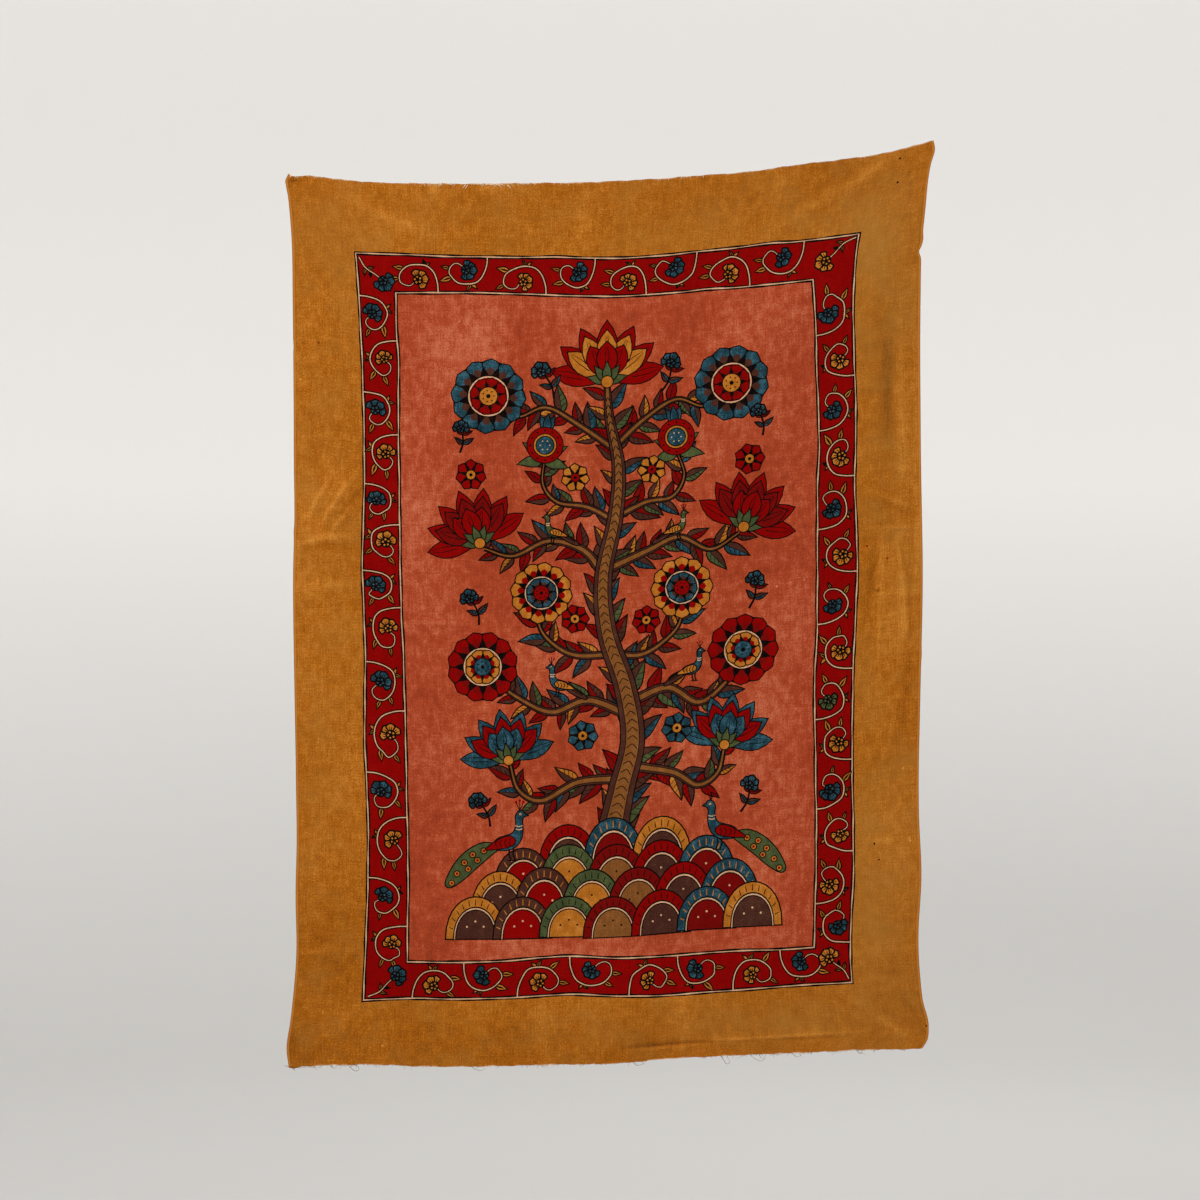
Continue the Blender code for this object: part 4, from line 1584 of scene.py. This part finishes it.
# %% The dyes
# What each dye is, what it gives the eye, and its dark, middle and light. The order is that of DYES.
# Columns: finish, dark, middle, light, uneven (hand's breadth, blotch, streak, grain)
FRONT_DYES = {
    # pomegranate rind and turmeric: a warm ochre that washes out in streaks
    "ground": ("rind_ochre_ground", "#673607", "#a15b11", "#d08a38", (0.35, 0.58, 0.45, 1.00)),
    # madder on alum: a deep even red that hardly shows the cloth
    "madder": ("madder_red", "#4c0100", "#7d0100", "#a50e05", (0.25, 0.35, 0.20, 0.40)),
    # thin madder over bare cloth: a dusty rose, the most blotched of all
    "rose": ("thin_madder_rose", "#6e2712", "#a14023", "#d07a58", (0.60, 0.80, 0.34, 0.70)),
    # indigo brushed on and aired: a blue-black that is paler where the brush ran dry
    "indigo": ("brushed_indigo", "#091318", "#1c3b45", "#44707f", (0.30, 1.30, 0.40, 0.80)),
    "yellow": ("rind_yellow", "#6b3c0c", "#a9641d", "#d6964a", (0.25, 0.80, 0.30, 0.50)),
    # bare milk-treated cloth, left free of dye
    "cream": ("bare_cotton", "#83604a", "#c69a76", "#e6c49f", (0.20, 0.80, 0.30, 0.60)),
    # iron and jaggery ink: as near black as a dye gets, browner where the pen ran thin
    "ink": ("iron_ink", "#040201", "#0b0504", "#2e1810", (0.25, 0.70, 0.25, 0.50)),
    "umber": ("iron_over_madder", "#26100d", "#43241b", "#67402f", (0.25, 0.60, 0.25, 0.40)),
    "green": ("indigo_over_yellow", "#232a18", "#3f4829", "#66703f", (0.25, 0.80, 0.25, 0.45)),
    "crimson": ("twice_dyed_madder", "#430302", "#6a0604", "#8c120a", (0.20, 0.40, 0.20, 0.40)),
    "bark": ("bark_brown", "#4a2910", "#774820", "#a06c3a", (0.25, 0.60, 0.30, 0.45)),
}
BACK_DYES = {
    "ground": ("rind_ochre_reverse", "#80501f", "#a97036", "#c99a66", (0.35, 0.50, 0.35, 0.45)),
    "madder": ("madder_red_reverse", "#6b1a10", "#8d2d1f", "#b0604c", (0.30, 0.60, 0.30, 0.45)),
    "rose": ("thin_madder_reverse", "#8b4c33", "#b27153", "#cf9c80", (0.50, 0.60, 0.30, 0.50)),
    "indigo": ("brushed_indigo_reverse", "#3b464c", "#59686f", "#84898a", (0.30, 0.80, 0.30, 0.50)),
    "yellow": ("rind_yellow_reverse", "#8a5c28", "#b07f45", "#cfa876", (0.30, 0.60, 0.30, 0.45)),
    "cream": ("bare_cotton_reverse", "#947460", "#bf9c82", "#dcc0a6", (0.30, 0.50, 0.30, 0.50)),
    "ink": ("iron_ink_reverse", "#3a2219", "#5c3a2b", "#87604a", (0.30, 0.70, 0.30, 0.50)),
    "umber": ("iron_over_madder_reverse", "#4d2f25", "#6d4a3b", "#90705e", (0.30, 0.60, 0.30, 0.45)),
    "green": ("indigo_over_yellow_reverse", "#4a4a32", "#6a6848", "#8f8a66", (0.30, 0.70, 0.30, 0.45)),
    "crimson": ("twice_dyed_madder_reverse", "#5f150d", "#7d2317", "#9c4737", (0.30, 0.60, 0.30, 0.45)),
    "bark": ("bark_brown_reverse", "#6b482a", "#8b6542", "#ab8a68", (0.30, 0.60, 0.30, 0.45)),
}
for dyes in (FRONT_DYES, BACK_DYES):
    for dye in DYES:
        cloth_mesh.materials.append(dye_on_cotton(*dyes[dye], ground=dye == "ground"))
print("finishes on the sheet:", len(cloth_mesh.materials))

# %% [markdown]
# The panel was torn or cut from the bolt, so the top and bottom ends have no hem, and the outermost weft
# threads have worked loose. Short ends of warp stick out there, most a few millimetres long, and a few
# weft threads trail in loops. They are thin tubes of three sides, all made at once from arrays: a table
# of paths, and a triangle carried along each.

# %% Loose threads at both ends
THREAD_SIDES = 3
SHORT_RADIUS = 0.36
LYING_RADIUS = 0.7
TRAILING_RADIUS = 0.46
PATH_STEPS = 7
ENDS_ON_TOP = 190
ENDS_BELOW = 230
# Where the ends are thickest along each end of the cloth. Columns: across, spread
FRAYED_ON_TOP = [(340, 60), (430, 50), (250, 30), (640, 60), (40, 30)]
FRAYED_BELOW = [(60, 40), (150, 60), (460, 40), (780, 70), (870, 40), (1040, 60)]


def tubes(paths, radius):
    """Three-sided tubes along many paths at once: at each point of a path a triangle is set square to
    the path, and it shrinks to a third at the path's end. Returns places and triangles."""
    count, steps = paths.shape[:2]
    ahead = np.gradient(paths, axis=1)
    ahead /= np.maximum(np.linalg.norm(ahead, axis=2), 1e-9)[..., None]
    side = np.cross(ahead, (0.35, -0.9, 0.25))
    side /= np.maximum(np.linalg.norm(side, axis=2), 1e-9)[..., None]
    other = np.cross(ahead, side)
    a = (np.arange(THREAD_SIDES) * 2 * math.pi / THREAD_SIDES)[None, None, :, None]
    taper = between(1.0, 0.35, np.linspace(0, 1, steps) ** 2)[None, :, None, None]
    spoke = np.cos(a) * side[:, :, None] + np.sin(a) * other[:, :, None]
    places = paths[:, :, None] + radius * taper * spoke
    numbers = np.arange(count * steps * THREAD_SIDES).reshape(count, steps, THREAD_SIDES)
    here, there = numbers[:, :-1], numbers[:, 1:]
    here_next, there_next = np.roll(here, -1, 2), np.roll(there, -1, 2)
    walls = np.concatenate([
        np.stack([here, here_next, there], 3).reshape(-1, 3),
        np.stack([there, here_next, there_next], 3).reshape(-1, 3),
    ])
    return places.reshape(-1, 3), np.concatenate([walls, numbers[:, 0, ::-1], numbers[:, -1]])


# %% [markdown]
# A short end is a curve with some chance in its place, length, lean and bend. Their lengths follow a
# gamma distribution: most are short, and a few are long.

# %% The short ends
def short_ends(count, down, frayed, rng):
    """Warp ends along one end of the cloth, three in four of them in its frayed places. The lower ones
    hang down from the edge. The upper ones stand up a little and then flop down over the front."""
    where = np.array(frayed)[rng.integers(0, len(frayed), count)]
    frays = rng.random(count) < 0.75
    first, last = 8, CLOTH_WIDTH - 8
    across = np.where(frays, rng.normal(where[:, 0], where[:, 1]), rng.uniform(first, last, count))
    across = np.clip(across, first, last)
    length = rng.gamma(2.2, 1.5, count) + 1.2
    lean = rng.normal(0, 0.45, count)
    bend = rng.normal(0, 0.5, count)
    f = np.linspace(0, 1, PATH_STEPS)[None]
    root = hung(across, np.full(count, down), relief(across, np.full(count, down))) / MM
    x = root[:, :1] + length[:, None] * (lean[:, None] * f + bend[:, None] * f**2)
    if down == 0:
        z = root[:, 2:] + 1.3 * np.sin(math.pi * f) - 0.8 * length[:, None] * f**1.6
        y = root[:, 1:2] - 1.6 * f
    else:
        z = root[:, 2:] + 1.2 - length[:, None] * f * (1 - 0.25 * f)
        y = root[:, 1:2] - np.abs(rng.normal(0, 0.25, count))[:, None] * f * length[:, None]
    return np.stack([x, y, z], 2)


# %% [markdown]
# The few long threads are seen one by one, so each has its own row of points.

# %% The longer threads
# Weft threads that trail in front of the lower end, and how far off the plane and in how many points.
# Columns: across, height of each point
TRAILS_OFF = 3.6
TRAILING_STEPS = 22
TRAILING = [
    [(-470, -1589), (-466, -1594), (-459, -1600), (-452, -1598), (-454, -1591), (-462, -1590)],
    [(-585, -1591), (-560, -1594), (-540, -1593), (-516, -1595)],
    [(196, -1570), (203, -1578), (209, -1587), (215, -1585), (213, -1577)],
    [(252, -1571), (262, -1579), (273, -1582), (279, -1576), (270, -1570)],
    [(326, -1565), (334, -1574), (343, -1572), (341, -1565)],
    [(443, -1562), (449, -1569), (454, -1565), (448, -1560), (444, -1564)],
    [(-250, -1590), (-243, -1597), (-231, -1599), (-222, -1594)],
    [(40, -1583), (48, -1590), (58, -1588), (66, -1582)],
]


# Pale ends that lie on the front, just below the upper edge. Columns: across and down of both ends
LYING = [
    (314, 1, 307, 7.5), (317, 2, 312, 9), (338, 1, 346, 2.5), (349, 2, 360, 3), (356, 1, 367, 4),
    (365, 2, 383, 5), (371, 3, 377, 8.5), (386, 3, 392, 10), (410, 1, 414, 2.5), (431, 1, 436, 2.5),
    (258, 1, 273, 2.5), (281, 1, 290, 2),
]


def lying_ends(rows):
    """Each end from its root to its tip, bowed by a twelfth of its length, on the painted side."""
    x0, y0, x1, y1 = np.array(rows, float).T[..., None]
    f = np.linspace(0, 1, PATH_STEPS)[None]
    bow = np.sin(math.pi * f) / 12
    across = between(x0, x1, f) + bow * (y1 - y0)
    down = between(y0, y1, f) - bow * (x1 - x0)
    flat = across.ravel(), down.ravel()
    return (hung(*flat, painted_side(*flat) + LYING_RADIUS) / MM).reshape(len(rows), PATH_STEPS, 3)


def resampled(points, steps):
    """A smooth line through the points, as that many points evenly spaced by number."""
    line = curve(points, 1.0)
    return line[np.linspace(0, len(line) - 1, steps).round().astype(int)]


rng = np.random.default_rng(23)
short = np.concatenate([
    short_ends(ENDS_ON_TOP, 0.0, FRAYED_ON_TOP, rng),
    short_ends(ENDS_BELOW, CLOTH_HEIGHT, FRAYED_BELOW, rng),
])
trailing = np.stack([resampled(points, TRAILING_STEPS) for points in TRAILING])
trailing = np.insert(trailing, 1, -TRAILS_OFF, axis=2)
made = [
    tubes(short, SHORT_RADIUS),
    tubes(trailing, TRAILING_RADIUS),
    tubes(lying_ends(LYING), LYING_RADIUS),
]
before = np.cumsum([0] + [len(places) for places, corners in made])
thread_mesh = mesh_from(
    "loose_threads",
    np.concatenate([places for places, corners in made]) * MM,
    np.concatenate([corners + start for (places, corners), start in zip(made, before)]),
)
thread_mesh.shade_smooth()
loose_threads = bpy.data.objects.new("loose_threads", thread_mesh)
bpy.context.scene.collection.objects.link(loose_threads)
print("loose threads:", sum(map(len, (short, trailing, LYING))), "triangles:", len(thread_mesh.polygons))

# %% [markdown]
# The loose ends on top were rubbed and bleached, so they are paler than the cloth: nearly undyed yarn.
# Those below lay longest in the dye, and are brown. The finish reads the object's own coordinates,
# because a thread has no place on the flat cloth.

# %% Yarn
def loose_yarn():
    finish = bpy.data.materials.new("half_dyed_yarn")
    finish.use_nodes = True
    tree = finish.node_tree
    shader = tree.nodes["Principled BSDF"]
    place = node(tree, "ShaderNodeTexCoord").outputs["Object"]
    noise = node(tree, "ShaderNodeTexNoise", {"Vector": place, "Scale": 25.0, "Detail": 3.0})
    height = node(tree, "ShaderNodeSeparateXYZ", {0: place}).outputs["Z"]
    higher = node(tree, "ShaderNodeMapRange",
                  {"Value": height, "From Min": -CLOTH_HEIGHT * MM, "From Max": 0.0, "To Max": 0.6})
    paler = node(tree, "ShaderNodeMath", {0: noise.outputs["Fac"], 1: higher.outputs[0]}, operation="ADD")
    ramp = node(tree, "ShaderNodeValToRGB", {"Fac": paler.outputs[0]})
    ramp.color_ramp.elements[0].color = linear("#4c2f18")
    ramp.color_ramp.elements[1].color = linear("#ead2ae")
    ramp.color_ramp.elements[0].position = 0.4
    ramp.color_ramp.elements[1].position = 0.95
    bump = node(tree, "ShaderNodeBump", {"Height": noise.outputs["Fac"], "Distance": 0.1 * MM})
    tree.links.new(ramp.outputs["Color"], shader.inputs["Base Color"])
    tree.links.new(bump.outputs["Normal"], shader.inputs["Normal"])
    shader.inputs["Roughness"].default_value = COTTON_ROUGHNESS
    shader.inputs["Specular IOR Level"].default_value = COTTON_SPECULAR
    return finish


thread_mesh.materials.append(loose_yarn())

# %% [markdown]
# The studio is a wide round bowl. Its floor curves up into its wall with no corner, so every view has
# the same quiet ground behind the panel, and the panel throws no shadow on it. It is open to a pale sky,
# which gives nearly all the light, as even as a photographer's soft boxes would. A level floor catches
# twice as much sky as an upright wall, so the paint is greyer low down. One wide lamp stands in front on
# the left, because the folds only show where the light leans a little.

# %% The studio
FLOOR_HEIGHT = -2.4
BOWL_RADIUS = 9.0
BOWL_CURVE = 4.0
BOWL_TOP = 2.9
WALL_PAINT = "#e9e7e3"
FLOOR_PAINT = "#bab8b4"
WALL_PAINT_FROM = -0.2


def round_bowl():
    """A profile turned round the upright axis: the floor, a quarter circle, and the wall."""
    quarter = np.linspace(0, math.pi / 2, 20)
    profile = np.concatenate([
        [(0.05, FLOOR_HEIGHT), (2.5, FLOOR_HEIGHT)],
        np.stack([
            BOWL_RADIUS - BOWL_CURVE + BOWL_CURVE * np.sin(quarter),
            FLOOR_HEIGHT + BOWL_CURVE - BOWL_CURVE * np.cos(quarter),
        ], 1),
        [(BOWL_RADIUS, BOWL_TOP)],
    ])
    turns = np.linspace(0, 2 * math.pi, 96, endpoint=False)
    radius, height = profile.T
    places = np.stack([
        radius[:, None] * np.cos(turns),
        radius[:, None] * np.sin(turns),
        np.repeat(height[:, None], len(turns), 1),
    ], 2).reshape(-1, 3)
    numbers = np.arange(len(places)).reshape(len(profile), len(turns))
    here, there = numbers[:-1], np.roll(numbers[:-1], -1, 1)
    above, above_there = numbers[1:], np.roll(numbers[1:], -1, 1)
    corners = np.concatenate([
        np.stack([here, there, above], 2).reshape(-1, 3),
        np.stack([there, above_there, above], 2).reshape(-1, 3),
        np.stack([np.roll(numbers[0], -1), numbers[0], np.full(len(turns), len(places))], 1),
    ])
    places = np.concatenate([places, [(0, 0, FLOOR_HEIGHT)]])
    mesh = mesh_from("studio_bowl", places, corners)
    mesh.shade_smooth()
    bowl = bpy.data.objects.new("studio_bowl", mesh)
    bpy.context.scene.collection.objects.link(bowl)
    return bowl


# %% [markdown]
# The paint and the lamps are matched to the picture: a near white wall, a floor that comes out no
# brighter, and a front lamp just strong enough to model the folds.

# %% Paint and lamps
def matt_studio_paint():
    """Matt paint that goes from the floor's grey to the wall's near white with height."""
    paint = bpy.data.materials.new("matt_studio_paint")
    paint.use_nodes = True
    tree = paint.node_tree
    shader = tree.nodes["Principled BSDF"]
    place = node(tree, "ShaderNodeTexCoord").outputs["Object"]
    height = node(tree, "ShaderNodeSeparateXYZ", {0: place}).outputs["Z"]
    share = node(tree, "ShaderNodeMapRange",
                 {"Value": height, "From Min": FLOOR_HEIGHT, "From Max": WALL_PAINT_FROM})
    ramp = node(tree, "ShaderNodeValToRGB", {"Fac": share.outputs[0]})
    ramp.color_ramp.elements[0].color = linear(FLOOR_PAINT)
    ramp.color_ramp.elements[1].color = linear(WALL_PAINT)
    tree.links.new(ramp.outputs["Color"], shader.inputs["Base Color"])
    shader.inputs["Roughness"].default_value = 0.95
    shader.inputs["Specular IOR Level"].default_value = 0.1
    return paint


def soft_light(name, place, aim, width, watts):
    light = bpy.data.lights.new(name, "AREA")
    light.shape = "SQUARE"
    light.size = width
    light.energy = watts
    lamp = bpy.data.objects.new(name, light)
    lamp.location = place
    lamp.visible_camera = False
    way = Vector(aim) - Vector(place)
    lamp.rotation_euler = way.to_track_quat("-Z", "Y").to_euler()
    bpy.context.scene.collection.objects.link(lamp)
    return lamp


studio_bowl = round_bowl()
studio_bowl.data.materials.append(matt_studio_paint())
PANEL_MIDDLE = (-0.01, 0.0, -0.76)
# Columns: name, place and width in metres, watts
LAMPS = [("lamp_in_front", (-3.2, -3.6, 1.2), 2.2, 85), ("lamp_behind", (2.0, 4.4, 1.6), 3.0, 60)]
for name, place, width, watts in LAMPS:
    soft_light(name, place, PANEL_MIDDLE, width, watts)

SKY_PAINT = "#f4f4f6"
SKY_STRENGTH = 1.35
world = bpy.data.worlds.new("pale_sky")
world.use_nodes = True
sky = world.node_tree.nodes["Background"]
sky.inputs["Color"].default_value = linear(SKY_PAINT)
sky.inputs["Strength"].default_value = SKY_STRENGTH
bpy.context.scene.world = world
bpy.context.scene.view_settings.view_transform = "Standard"

# %% [markdown]
# The picture was taken square on, from about five metres. The whole frame is 2.16 metres across, and a
# long lens keeps the panel's edges parallel.

# %% The camera
LENS = 85.0
SENSOR = 36.0
FRAME_ACROSS = 2.16
CAMERA_PLACE = (-0.018, -FRAME_ACROSS * LENS / SENSOR, -0.753)

eye = bpy.data.cameras.new("camera")
eye.lens = LENS
eye.sensor_width = SENSOR
eye.clip_end = 60
camera = bpy.data.objects.new("camera", eye)
camera.location = CAMERA_PLACE
camera.rotation_euler = (math.pi / 2, 0, 0)
bpy.context.scene.collection.objects.link(camera)
bpy.context.scene.camera = camera
print("the camera stands", round(-CAMERA_PLACE[1], 2), "m in front")

# %% [markdown]
# Last, each piece is tied to the frame. The sheet stands for the panel's solid, which is hidden.

# %% What the pieces are
for piece in (cloth, loose_threads):
    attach(piece, "root")
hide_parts("cloth")
